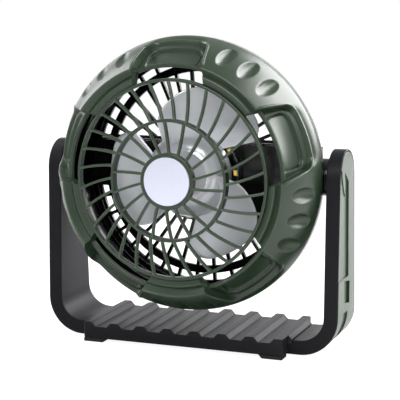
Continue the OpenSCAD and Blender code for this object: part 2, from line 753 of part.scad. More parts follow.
module motor_bush() color("#b9964a") in_head() difference() {
    union() {
        rod(bush_d, core_in - 4, core_in + EPS);
        rod(bush_flange_d, core_in, core_front + 1.5);
    }
    rod(shaft_d + 2 * shaft_fit, core_in - 5, core_front + 3);
}

module motor_screws() color("silver") in_head() motor_screw_places() {
    rod(screw_d - 0.4, core_in - 2.6, core_front + 0.5);
    rod(screw_head_d - 0.4, core_front + 0.05, core_front + 1.4);
}

module motor_shaft() color("#d5d7da") in_head() rod(shaft_d, core_in - 3.6, hub_front - 3);

// ---- Light ring ----

module light_board() color("#202a22") in_head() difference() {
    rod(2 * (lens_out - lens_t - seat), core_front, core_front + light_board_t);
    rod(2 * (lens_in + lens_t + seat), core_front - 1, core_front + 4);
}

module light_chips() color("#efb040") in_head() for (i = [0:chip_count - 1])
    rotate([0, -i * 360 / chip_count - chip_phase, 0])
    translate([chip_ring_r - chip_w / 2, -core_front - light_board_t - chip_h, -chip_l / 2])
    cube([chip_w, chip_h, chip_l]);

module light_lens() color("#e8eef0", 0.5) in_head() turned() difference() {
    translate([lens_in, core_front]) square([lens_out - lens_in, lens_front - core_front]);
    translate([lens_in + lens_t, core_front - 1])
        square([lens_out - lens_in - 2 * lens_t, lens_front - core_front - lens_t + 1]);
}

// ---- Cells and controls ----

module battery_cells() color("#3f7fb5") in_head() both_sides()
    translate([0, -(core_in + core_back) / 2, bay_z]) {
        cross_rod(cell_d, cell_x, cell_x + cell_l - 1.2);
        cross_rod(6, cell_x + cell_l - 2, cell_x + cell_l);
    }

module control_board() color("#2f6b3f") in_head() difference() {
    intersection() {
        facing(board_front - board_t, board_front) core_outline(wall + seat);
        translate([box_x[0] + wall + seat, -core_in, box_z]) cube([box_x[1], core_in - core_back, board_h]);
    }
    board_posts() rod(1.5, board_front - 3, board_front + 3);
}

module touch_switches() color("#303236") in_head() for (x = button_x)
    translate([x - switch_side / 2, -board_front + board_t, button_z - switch_side / 2])
    cube([switch_side, switch_h, switch_side]);

module usb_socket() color("#c4c6c9") in_head() translate([usb_x, 0, button_z]) difference() {
    usb_back = core_back - wall + 0.2;
    facing(usb_back, board_front - board_t) square([usb_w, usb_h], center = true);
    facing(usb_back - 1, usb_back + 6) square([usb_w - 2 * usb_wall, usb_h - 2 * usb_wall], center = true);
}

module push_button(x) in_head() translate([x, 0, button_z]) {
    rod(button_d, core_back - wall - button_proud, core_back + 1);
    rod(button_d + 2 * button_flange, core_back + seat, core_back + 1.2);
    rod(button_stem_d, core_back + 1, board_front - board_t - switch_h - button_travel - gap);
}

module fan_button() color("#2c2e30") push_button(button_x[0]);
module light_button() color("#2c2e30") push_button(button_x[1]);

// ---- Impeller ----

// Front view of a blade that points up, wider than the tip circle: a long rounded leading
// corner on the left and a tighter one on the right.
module blade_outline() scale(impeller_r / blade_drawn_r) polygon(concat(
    [blade_root[0]], arc_between(blade_lead[0], blade_lead[1], -blade_lead_sag, 10), [blade_beyond],
    arc_between(blade_trail[0], blade_trail[1], -blade_trail_sag, 8), [blade_root[1]]));

module blade() intersection() {
    translate([blade_x, -blade_mid, -impeller_r]) rotate([0, 0, blade_pitch])
        translate([0, -blade_camber_r, 0]) difference() {
            cylinder(r = blade_camber_r + blade_t / 2, h = 3 * impeller_r);
            translate([0, 0, -1]) cylinder(r = blade_camber_r - blade_t / 2, h = 3 * impeller_r + 2);
        }
    facing(2, blade_mid + blade_reach) blade_outline();
    rod(impeller_d, 2, blade_mid + blade_reach);
}

module impeller() color("#a9abb3") in_head() difference() {
    union() {
        difference() {
            union() {
                turned() polygon(concat([[0, hub_back], [hub_r, hub_back]],
                    arc_between([hub_r, hub_back + hub_skirt], [hub_nose_d / 2, hub_front], 2.2, 6),
                    [[0, hub_front]]));
                for (i = [0:blade_count - 1]) rotate([0, -i * 360 / blade_count, 0]) blade();
            }
            turned() polygon([[0, 0], [hub_r - hub_wall, 0], [hub_r - hub_wall, hub_back + 3],
                [hub_nose_d / 2 - 1, hub_front - hub_wall], [0, hub_front - hub_wall]]);
        }
        rod(hub_post_d, hub_back, hub_front - 1);
    }
    rod(shaft_d + 0.02, hub_back - 5, hub_front - 3 + EPS);
}

stand_frame();
base_tread();
rubber_feet();
base_screws();
side_panel_left();
side_panel_right();
friction_washers();
pivot_bolts();
front_bezel();
front_grille();
badge_disc();
bezel_screws();
rear_shell();
rear_grille();
rear_grille_screws();
core_housing();
core_cover();
core_cover_screws();
motor_can();
motor_bush();
motor_screws();
motor_shaft();
impeller();
light_board();
light_chips();
light_lens();
battery_cells();
control_board();
touch_switches();
usb_socket();
fan_button();
light_button();
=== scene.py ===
import json
import logging
import math
from dataclasses import dataclass
from enum import Enum
from typing import Optional, Sequence

import bmesh
import bpy
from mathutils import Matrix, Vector


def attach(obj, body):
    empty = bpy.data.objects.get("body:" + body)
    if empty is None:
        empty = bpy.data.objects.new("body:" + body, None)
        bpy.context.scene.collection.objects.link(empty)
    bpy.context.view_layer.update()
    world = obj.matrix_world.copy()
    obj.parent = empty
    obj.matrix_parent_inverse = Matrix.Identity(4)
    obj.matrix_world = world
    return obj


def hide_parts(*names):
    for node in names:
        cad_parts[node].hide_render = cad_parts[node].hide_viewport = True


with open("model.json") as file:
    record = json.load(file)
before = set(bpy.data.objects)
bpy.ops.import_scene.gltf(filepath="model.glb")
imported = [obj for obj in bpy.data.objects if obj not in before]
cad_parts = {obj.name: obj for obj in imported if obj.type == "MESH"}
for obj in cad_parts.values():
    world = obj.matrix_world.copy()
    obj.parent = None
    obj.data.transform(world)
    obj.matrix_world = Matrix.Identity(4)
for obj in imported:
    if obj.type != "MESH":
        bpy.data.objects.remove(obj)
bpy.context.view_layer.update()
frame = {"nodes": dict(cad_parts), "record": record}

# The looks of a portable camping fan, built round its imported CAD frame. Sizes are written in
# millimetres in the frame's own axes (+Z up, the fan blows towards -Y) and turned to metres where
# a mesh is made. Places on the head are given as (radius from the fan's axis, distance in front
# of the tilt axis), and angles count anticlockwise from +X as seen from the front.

LOG = logging.getLogger("scene")
MM = 0.001
AXIS_Y = 13.0             # the tilt axis and the fan's axis cross at this y and height
AXIS_H = 129.0
NUDGE = 1e-6              # metres; verts closer than this are the same vert
CREASE_DEG = 40           # edges that turn by more than this stay sharp
CLOUDS_PER_METRE = 38.0   # how fast a surface's colour drifts
WEAR = {"From Min": 0.52, "From Max": 0.60, "To Max": 0.55}   # pointiness to share of worn colour

Point = tuple[float, float]
Place = tuple[float, float, float]
Tree = bpy.types.NodeTree
Socket = bpy.types.NodeSocket
Piece = bpy.types.Object


class Body(Enum):
    """The bodies of the frame that pieces ride on."""

    STAND = "stand"
    HEAD = "head"
    ROTOR = "rotor"
    FAN_BUTTON = "fan_button"
    LIGHT_BUTTON = "light_button"


# ---- Colour and material helpers ----


def linear(hex_colour: str) -> tuple[float, float, float, float]:
    """Turns an sRGB colour into the linear one that shaders take, by the standard's own curve.

    Args:
        hex_colour: The colour as "#rrggbb".

    Returns:
        Linear red, green, blue and an alpha of 1.
    """
    channels = [int(hex_colour[i:i + 2], 16) / 255 for i in (1, 3, 5)]
    return (*[c / 12.92 if c <= 0.04045 else ((c + 0.055) / 1.055) ** 2.4 for c in channels], 1.0)


def emptied(owner: bpy.types.ID) -> Tree:
    """Switches a material's or a world's nodes on and clears them.

    Args:
        owner: The material or world.

    Returns:
        Its empty node tree.
    """
    owner.use_nodes = True
    owner.node_tree.nodes.clear()
    return owner.node_tree


def add(tree: Tree, kind: str, inputs: Optional[dict] = None, **settings) -> bpy.types.Node:
    """Adds a node with its settings, values and links.

    Args:
        tree: The node tree that gets the node.
        kind: The node's type name.
        inputs: Socket names or numbers, each with a value or with the output socket to link.
        settings: Attributes of the node.

    Returns:
        The new node.
    """
    node = tree.nodes.new(kind)
    for name, value in settings.items():
        setattr(node, name, value)
    for key, value in (inputs or {}).items():
        if isinstance(value, Socket):
            tree.links.new(value, node.inputs[key])
        else:
            node.inputs[key].default_value = value
    return node


def calc(tree: Tree, operation: str, *values: object) -> Socket:
    """Adds a math node with its values or links and gives its result."""
    return add(tree, "ShaderNodeMath", dict(enumerate(values)), operation=operation).outputs[0]


def blend(tree: Tree, share: Socket, first: object, second: object) -> Socket:
    """Adds a node that blends two colours and gives its result."""
    return add(tree, "ShaderNodeMix", {"Factor": share, 6: first, 7: second},
               data_type="RGBA").outputs[2]


class Grain(Enum):
    """How the surface's relief was made."""

    SPARKED = "fine even grain of a spark-eroded mould"
    POLISHED = "flow waviness of a polished mould"
    BRUSHED = "straight fine lines of a brush or a rolled sheet"
    TURNED = "rings left by a turning tool"


@dataclass(frozen=True)
class Finish:
    """One material: what it is, its colours and gloss, and the relief that its making left."""

    slot: str
    colour: str
    mottle: str
    roughness: float
    rough_spread: float = 0.06
    grain: Grain = Grain.SPARKED
    grain_mm: float = 0.9
    grain_height_mm: float = 0.02
    worn: str = ""
    metallic: float = 0.0
    ior: float = 1.5
    transmission: float = 0.0
    specular: float = 0.5
    # strength of a painted glow: emission that brightens the surface as if it were lit
    glow: float = 0.0

    def relief(self, tree: Tree, place: Socket) -> Socket:
        """Makes the height pattern of the surface.

        Args:
            tree: The material's tree.
            place: Object coordinates in metres.

        Returns:
            A height from 0 to 1.
        """
        per_metre = 1000 / self.grain_mm
        if self.grain is Grain.TURNED:
            centre = add(tree, "ShaderNodeMapping",
                         {"Vector": place, "Location": (0, 0, -AXIS_H * MM)})
            flat = add(tree, "ShaderNodeVectorMath", {0: centre.outputs[0], 1: (1, 0, 1)},
                       operation="MULTIPLY")
            radius = add(tree, "ShaderNodeVectorMath", {0: flat.outputs[0]}, operation="LENGTH")
            turns = calc(tree, "MULTIPLY", radius.outputs["Value"], per_metre * math.tau)
            return calc(tree, "SINE", turns)
        stretch = (0.04, 1, 1) if self.grain is Grain.BRUSHED else (1, 1, 1)
        scaled = add(tree, "ShaderNodeMapping", {"Vector": place, "Scale": stretch})
        detail = 1.0 if self.grain is Grain.POLISHED else 3.0
        return add(tree, "ShaderNodeTexNoise",
                   {"Vector": scaled.outputs[0], "Scale": per_metre, "Detail": detail,
                    "Roughness": 0.55}).outputs["Fac"]

    def material(self) -> bpy.types.Material:
        """Builds the node material.

        Returns:
            The finished material, named after its slot.
        """
        made = bpy.data.materials.new(self.slot)
        tree = emptied(made)
        place = add(tree, "ShaderNodeTexCoord").outputs["Object"]
        cloud = add(tree, "ShaderNodeTexNoise",
                    {"Vector": place, "Scale": CLOUDS_PER_METRE, "Detail": 2.0})
        colour = blend(tree, cloud.outputs["Fac"], linear(self.colour), linear(self.mottle))
        height = self.relief(tree, place)
        gloss = add(tree, "ShaderNodeMapRange",
                    {"Value": height, "To Min": self.roughness - self.rough_spread,
                     "To Max": self.roughness + self.rough_spread})
        if self.worn:
            pointed = add(tree, "ShaderNodeNewGeometry").outputs["Pointiness"]
            edge = add(tree, "ShaderNodeMapRange", {"Value": pointed, **WEAR})
            colour = blend(tree, edge.outputs[0], colour, linear(self.worn))
        bump = add(tree, "ShaderNodeBump", {"Height": height, "Strength": 0.5,
                                            "Distance": self.grain_height_mm * MM})
        shader = add(tree, "ShaderNodeBsdfPrincipled",
                     {"Base Color": colour, "Roughness": gloss.outputs[0],
                      "Normal": bump.outputs[0], "Metallic": self.metallic, "IOR": self.ior,
                      "Transmission Weight": self.transmission,
                      "Specular IOR Level": self.specular})
        # Painted glow: the mottle colour is emitted, so the surface shines without a lamp lighting
        # it.
        if self.glow:
            shader.inputs["Emission Color"].default_value = linear(self.mottle)
            shader.inputs["Emission Strength"].default_value = self.glow
        add(tree, "ShaderNodeOutputMaterial", {"Surface": shader.outputs[0]})
        return made


@dataclass(frozen=True)
class SatinAbs(Finish):
    """Moulded ABS with a spark-eroded skin: soft wide reflections and edges polished by hands."""

    roughness: float = 0.42
    ior: float = 1.53


@dataclass(frozen=True)
class GlossAbs(Finish):
    """Moulded ABS from a polished mould: dark, with small sharp reflections that waver a little."""

    roughness: float = 0.16
    rough_spread: float = 0.04
    grain: Grain = Grain.POLISHED
    grain_mm: float = 14.0
    grain_height_mm: float = 0.05
    ior: float = 1.53


@dataclass(frozen=True)
class Rubber(Finish):
    """Moulded rubber: matt and dusty, with hardly a highlight."""

    roughness: float = 0.82
    grain_mm: float = 1.2
    grain_height_mm: float = 0.06
    ior: float = 1.52
    specular: float = 0.35


@dataclass(frozen=True)
class ZincSteel(Finish):
    """Zinc-plated steel: bright and a little cloudy, with fine drawn lines."""

    roughness: float = 0.3
    grain: Grain = Grain.BRUSHED
    grain_mm: float = 0.4
    grain_height_mm: float = 0.008
    metallic: float = 1.0


@dataclass(frozen=True)
class TurnedBrass(Finish):
    """Turned brass: bright rings left by the tool."""

    roughness: float = 0.28
    grain: Grain = Grain.TURNED
    grain_mm: float = 0.4
    grain_height_mm: float = 0.008
    metallic: float = 1.0


@dataclass(frozen=True)
class SatinAluminium(Finish):
    """Anodised aluminium disc: a pale sheen with the faint rings of its turning."""

    roughness: float = 0.34
    grain: Grain = Grain.TURNED
    grain_mm: float = 0.5
    grain_height_mm: float = 0.003
    metallic: float = 0.35


@dataclass(frozen=True)
class ClearPolycarbonate(Finish):
    """Clear moulded ring: bright thin lines at its rims and the board dark through it."""

    roughness: float = 0.07
    rough_spread: float = 0.02
    grain: Grain = Grain.POLISHED
    grain_mm: float = 9.0
    ior: float = 1.58
    transmission: float = 1.0


FINISHES: tuple[Finish, ...] = (
    SatinAbs("green_abs", "#203020", "#273825", roughness=0.33, worn="#60705b", grain_mm=0.8,
             grain_height_mm=0.014),
    SatinAbs("black_abs", "#161619", "#1c1c20", roughness=0.42, worn="#36363c", grain_mm=1.0,
             grain_height_mm=0.025, specular=0.1),
    GlossAbs("glossy_black", "#060607", "#0b0b0d", specular=0.35),
    SatinAbs("silver_plastic", "#dde0e6", "#e5e7eb", roughness=0.2, rough_spread=0.03, grain_mm=0.7,
             grain_height_mm=0.002, metallic=0.3),
    Rubber("rubber", "#19191b", "#232326"),
    ZincSteel("screw_steel", "#b9bbbd", "#a7a9ac"),
    ZincSteel("motor_steel", "#b4b7bb", "#9fa2a7", roughness=0.34, grain_mm=0.6),
    TurnedBrass("bush_brass", "#b98f45", "#a57c38"),
    SatinAluminium("badge_metal", "#d8dbec", "#e0e2f1"),
    SatinAbs("washer_nylon", "#d4d3cb", "#dedcd3", roughness=0.5),
    SatinAbs("board_black", "#111613", "#1a211c", roughness=0.36, grain_mm=1.6),
    SatinAbs("board_green", "#1e5a2c", "#276a36", roughness=0.33, grain_mm=1.6),
    # the chips' amber windows carry a painted glow
    SatinAbs("light_chip", "#e9a62c", "#f2c33a", roughness=0.25, grain_mm=0.5, glow=0.9),
    ClearPolycarbonate("lens_clear", "#eef3f3", "#f6fafa"),
    SatinAbs("cell_sleeve", "#23639c", "#2c70ad", roughness=0.3, grain_mm=3.0),
    SatinAbs("switch_black", "#1b1c1f", "#26272b", roughness=0.45),
    SatinAbs("button_black", "#222325", "#2c2d30", roughness=0.34, worn="#4a4b4f"),
)
WHITE_PPA = SatinAbs("chip_body", "#dcdcd2", "#e8e7dd", roughness=0.4, grain_mm=0.5)


# ---- Curves ----


def smooth(value: float) -> float:
    """Eases a value from 0 to 1, flat at both ends."""
    x = min(1.0, max(0.0, value))
    return x * x * (3 - 2 * x)


def step(value: float, half: float) -> float:
    """Eases from 0 to 1 while a value goes from -half to half."""
    return smooth((value + half) / (2 * half))


def mix(a: float, b: float, share: float) -> float:
    """Blends from a to b by share."""
    return a + (b - a) * share


def bump(off: float, width: float) -> float:
    """Gives a bump 1 high at off 0, which fades over width on both sides."""
    return math.exp(-(off / width) ** 2)


def arc(a: Point, b: Point, sag: float, share: float) -> Point:
    """Gives a point of an arc.

    Args:
        a: Where the arc starts.
        b: Where it ends.
        sag: How far it bulges to the left of the way from a to b.
        share: How far along it the point lies, from 0 to 1.

    Returns:
        The point.
    """
    run = Vector(b) - Vector(a)
    left = Vector((-run.y, run.x)).normalized()
    radius = (run.length ** 2 / 4 + sag * sag) / (2 * sag)
    half = math.asin(run.length / 2 / radius)
    centre = (Vector(a) + Vector(b)) / 2 - left * (radius - sag)
    turn = half * (2 * share - 1)
    p = centre + radius * (left * math.cos(turn) + run.normalized() * math.sin(turn))
    return p.x, p.y


def rounded(corners: Sequence[Place]) -> list[Point]:
    """Rounds the corners of a closed profile.

    Args:
        corners: Each corner as (radius, front, rounding), in mm.

    Returns:
        The points of the rounded profile.
    """
    steps, most = 4, 0.48       # edges in each rounding, and how much of an edge it may take
    points: list[Point] = []
    for i, (x, y, rounding) in enumerate(corners):
        here = Vector((x, y))
        if rounding <= 0:
            points.append((x, y))
            continue
        before = Vector(corners[i - 1][:2]) - here
        after = Vector(corners[(i + 1) % len(corners)][:2]) - here
        start = here + before.normalized() * min(rounding, before.length * most)
        end = here + after.normalized() * min(rounding, after.length * most)
        for k in range(steps + 1):
            t = k / steps
            p = start * (1 - t) ** 2 + here * 2 * t * (1 - t) + end * t * t
            points.append((p.x, p.y))
    return points


def on_head(radius: float, angle: float, front: float) -> Place:
    """Turns a place on the head into the frame's metres.

    Args:
        radius: Distance from the fan's axis in mm.
        angle: Angle seen from the front, in radians.
        front: Distance in front of the tilt axis in mm.

    Returns:
        The place in metres.
    """
    return (radius * math.cos(angle) * MM, (AXIS_Y - front) * MM,
            (AXIS_H + radius * math.sin(angle)) * MM)


# ---- Mesh helpers ----


def linked(name: str, data: bpy.types.ID) -> Piece:
    """Makes an object of a mesh, a lamp or a camera and links it to the scene.

    Args:
        name: The object's name.
        data: What the object shows.

    Returns:
        The linked object.
    """
    made = bpy.data.objects.new(name, data)
    bpy.context.scene.collection.objects.link(made)
    return made


def baked(work: bmesh.types.BMesh, name: str) -> Piece:
    """Turns bmesh work into a linked mesh object.

    Args:
        work: The work, which is freed.
        name: Name of the object and of its mesh.

    Returns:
        The linked object.
    """
    mesh = bpy.data.meshes.new(name)
    work.to_mesh(mesh)
    work.free()
    return linked(name, mesh)


def shaded(piece: Piece, sharp_deg: float) -> Piece:
    """Shades a mesh object smooth.

    Args:
        piece: The mesh object.
        sharp_deg: Edges that turn by more than this stay sharp.

    Returns:
        The same object.
    """
    piece.data.shade_smooth()
    piece.data.set_sharp_from_angle(angle=math.radians(sharp_deg))
    return piece


def mesh_object(name: str, verts: Sequence[Place], faces: Sequence[Sequence[int]],
                sharp_deg: float = 38.0) -> Piece:
    """Makes a closed, smooth-shaded mesh object whose faces point outwards.

    Args:
        name: The object's name.
        verts: Places in metres.
        faces: Indices of each face's corners.
        sharp_deg: Edges that turn by more than this stay sharp.

    Returns:
        The linked object.
    """
    work = bmesh.new()
    made = [work.verts.new(v) for v in verts]
    for face in faces:
        work.faces.new([made[i] for i in face])
    bmesh.ops.remove_doubles(work, verts=work.verts, dist=NUDGE)
    bmesh.ops.recalc_face_normals(work, faces=work.faces)
    return shaded(baked(work, name), sharp_deg)


def grid_faces(rows: int, columns: int) -> list[list[int]]:
    """Lists the faces of a grid that closes on itself both ways.

    Args:
        rows: Number of points along each column.
        columns: Number of columns.

    Returns:
        Four corners for each face, where point (c, r) has the index c * rows + r.
    """
    return [[c * rows + r, c * rows + (r + 1) % rows, (c + 1) % columns * rows + (r + 1) % rows,
             (c + 1) % columns * rows + r] for c in range(columns) for r in range(rows)]


def lathe(name: str, profile: Sequence[Point], steps: int = 192) -> Piece:
    """Turns a closed profile about the fan's axis.

    Args:
        name: The object's name.
        profile: Points as (radius, front), in mm.
        steps: Number of columns round the axis.

    Returns:
        The turned mesh object.
    """
    verts = [on_head(r, math.tau * c / steps, f) for c in range(steps) for r, f in profile]
    return mesh_object(name, verts, grid_faces(len(profile), steps))


def joined(name: str, parts: Sequence[Piece]) -> Piece:
    """Joins mesh objects into one and removes them.

    Args:
        name: The new object's name.
        parts: The objects to join, all at the origin and all of one material.

    Returns:
        The joined object, still without its material.
    """
    work = bmesh.new()
    for part in parts:
        work.from_mesh(part.data)
        bpy.data.objects.remove(part)
    return baked(work, name)


def applied(source: Piece, name: str) -> Piece:
    """Turns an object's evaluated shape into a plain mesh object and removes the source.

    Args:
        source: The object with live modifiers.
        name: The new object's name.

    Returns:
        The plain mesh object.
    """
    bpy.context.view_layer.update()
    graph = bpy.context.evaluated_depsgraph_get()
    mesh = bpy.data.meshes.new_from_object(source.evaluated_get(graph), depsgraph=graph)
    mesh.name = name
    source.modifiers.clear()
    bpy.data.objects.remove(source)
    return linked(name, mesh)


def cad_copy(node: str) -> bmesh.types.BMesh:
    """Copies a CAD node's mesh and merges the verts that lie on each other.

    Args:
        node: The CAD node's name.

    Returns:
        The copy, ready for work.
    """
    work = bmesh.new()
    work.from_mesh(frame["nodes"][node].data)
    bmesh.ops.remove_doubles(work, verts=work.verts, dist=5 * NUDGE)
    return work


def softened(node: str, name: str, width_mm: float, least_edge_mm: float) -> Piece:
    """Copies a CAD node's shape and rounds its long sharp edges, as moulding leaves them.

    Args:
        node: The CAD node to copy.
        name: The new object's name.
        width_mm: Width of the rounding.
        least_edge_mm: Shorter edges, such as those round small holes, stay sharp.

    Returns:
        The rounded mesh object.
    """
    flat_deg, turn_deg = 0.6, 28.0
    work = cad_copy(node)
    bmesh.ops.dissolve_limit(work, angle_limit=math.radians(flat_deg), verts=work.verts,
                             edges=work.edges)
    bmesh.ops.triangulate(work, faces=work.faces, quad_method="BEAUTY", ngon_method="BEAUTY")
    weight = work.edges.layers.float.new("bevel_weight_edge")
    small = {v for e in work.edges if e.calc_length() < least_edge_mm * MM for v in e.verts}
    for edge in work.edges:
        turns = len(edge.link_faces) == 2 and edge.calc_face_angle(0.0) > math.radians(turn_deg)
        if turns and not small.intersection(edge.verts):
            edge[weight] = 1.0
    source = baked(work, name + "_source")
    kept = source.data.attributes
    for stale in ("custom_normal", "sharp_face", "sharp_edge"):
        if stale in kept:
            kept.remove(kept[stale])
    bevel = source.modifiers.new("rounding", "BEVEL")
    bevel.limit_method = "WEIGHT"
    bevel.width = width_mm * MM
    bevel.segments = 3
    bevel.use_clamp_overlap = False
    bevel.miter_outer = "MITER_ARC"
    bevelled = applied(source, name + "_bevelled")
    work = bmesh.new()
    work.from_mesh(bevelled.data)
    bmesh.ops.remove_doubles(work, verts=work.verts, dist=2 * NUDGE)
    work.to_mesh(bevelled.data)
    work.free()
    bevelled.data.materials.clear()
    even = shaded(bevelled, CREASE_DEG).modifiers.new("even_normals", "WEIGHTED_NORMAL")
    even.keep_sharp = True
    even.weight = 80
    return applied(bevelled, name)


def pairs(loop: list) -> list[tuple]:
    """Pairs each item of a closed loop with the next."""
    return list(zip(loop, loop[1:] + loop[:1]))


# ---- Geometry Nodes ----


class Pattern:
    """A Geometry Nodes tree with named inputs, run once and kept as a plain mesh."""

    KINDS = {int: "NodeSocketInt", float: "NodeSocketFloat", tuple: "NodeSocketVector",
             bpy.types.Object: "NodeSocketObject", bpy.types.Material: "NodeSocketMaterial"}

    def __init__(self, name: str, sizes: dict) -> None:
        """Starts the tree.

        Args:
            name: Name of the tree.
            sizes: Each input's name with its value; the value's type picks the socket.
        """
        self.name = name
        self.sizes = sizes
        self.tree = bpy.data.node_groups.new(name, "GeometryNodeTree")
        self.tree.interface.new_socket("Geometry", in_out="OUTPUT",
                                       socket_type="NodeSocketGeometry")
        for key, value in sizes.items():
            kind = next(k for t, k in self.KINDS.items() if isinstance(value, t))
            self.tree.interface.new_socket(key, in_out="INPUT", socket_type=kind)
        self.given = add(self.tree, "NodeGroupInput").outputs

    def shape(self, key: str) -> Socket:
        """Gives the geometry of the object that the input named key holds."""
        info = add(self.tree, "GeometryNodeObjectInfo", {"Object": self.given[key]})
        return info.outputs["Geometry"]

    def round_axis(self) -> tuple[Socket, Socket]:
        """Adds points on the axis, each turned on by an equal share of a circle.

        The inputs "Count" and "Phase" give their number and the first one's turn in radians.

        Returns:
            The points' socket and the rotation socket.
        """
        points = add(self.tree, "GeometryNodePoints", {"Count": self.given["Count"]})
        step = calc(self.tree, "DIVIDE", math.tau, self.given["Count"])
        index = add(self.tree, "GeometryNodeInputIndex").outputs[0]
        angle = calc(self.tree, "MULTIPLY_ADD", index, step, self.given["Phase"])
        turn = add(self.tree, "ShaderNodeCombineXYZ", {"Z": angle})
        return points.outputs[0], turn.outputs[0]

    def run(self, shape: Socket, points: Socket, turn: Socket, flat: bool = True,
            dressed: bool = False) -> Piece:
        """Sets a shape on points and turns the result into a plain mesh object.

        Args:
            shape: Socket of what repeats.
            points: Socket of the points.
            turn: Socket of each point's rotation.
            flat: True if the pattern lies in XY and has to stand upright on the head's axis.
            dressed: True if the shape brings its own materials.

        Returns:
            The plain mesh object.
        """
        real = add(self.tree, "GeometryNodeInstanceOnPoints",
                   {"Points": points, "Instance": shape, "Rotation": turn}).outputs[0]
        if flat:
            real = add(self.tree, "GeometryNodeTransform",
                       {"Geometry": real, "Rotation": (math.radians(90), 0, 0),
                        "Translation": (0, AXIS_Y * MM, AXIS_H * MM)}).outputs[0]
        real = add(self.tree, "GeometryNodeRealizeInstances", {"Geometry": real}).outputs[0]
        if not dressed:
            real = add(self.tree, "GeometryNodeSetMaterial",
                       {"Geometry": real, "Material": self.given["Material"]}).outputs[0]
        add(self.tree, "NodeGroupOutput", {0: real})
        holder = linked(self.name + "_holder", bpy.data.meshes.new(self.name + "_holder"))
        modifier = holder.modifiers.new(self.name, "NODES")
        modifier.node_group = self.tree
        for item in self.tree.interface.items_tree:
            if item.item_type == "SOCKET" and item.in_out == "INPUT":
                modifier[item.identifier] = self.sizes[item.name]
        return shaded(applied(holder, self.name), CREASE_DEG)


# ---- The workshop: finishes, and handing pieces to the frame ----


class Workshop:
    """Holds the materials and hands finished pieces to the frame."""

    def __init__(self) -> None:
        """Builds every finish and notes which slot each CAD node takes."""
        self.materials = {finish.slot: finish.material() for finish in FINISHES}
        self.chip_body = WHITE_PPA.material()
        self.slots = {row["node"]: row["material_slot"] for row in frame["record"]["subparts"]}
        self.replaced: set[str] = set()

    def give(self, piece: Piece, body: Body, *nodes: str) -> None:
        """Dresses a piece and tells the frame what it rides on and what it stands for.

        Args:
            piece: The finished mesh object.
            body: The body that carries it.
            nodes: CAD nodes that it replaces; it takes the first one's material slot.
        """
        slot = self.slots[nodes[0]]
        if not piece.data.materials:
            piece.data.materials.append(self.materials[slot])
        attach(piece, body.value)
        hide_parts(*nodes)
        self.replaced.update(nodes)
        LOG.info("%s: %d faces on %s", piece.name, len(piece.data.polygons), body.value)

    def dress_carried_over(self) -> None:
        """Gives every CAD node that still shows the material of its slot."""
        for name, node in frame["nodes"].items():
            material = self.materials[self.slots[name]]
            if not node.material_slots:
                node.data.materials.append(material)
            for slot in node.material_slots:
                slot.material = material
            if name not in self.replaced:
                LOG.info("%s: CAD shape in %s", name, self.slots[name])


@dataclass
class Assembly:
    """Pieces that are made together and take the places of their CAD nodes."""

    shop: Workshop

    def build(self) -> None:
        """Makes the pieces and hands them over."""
        raise NotImplementedError


# ---- The head ----


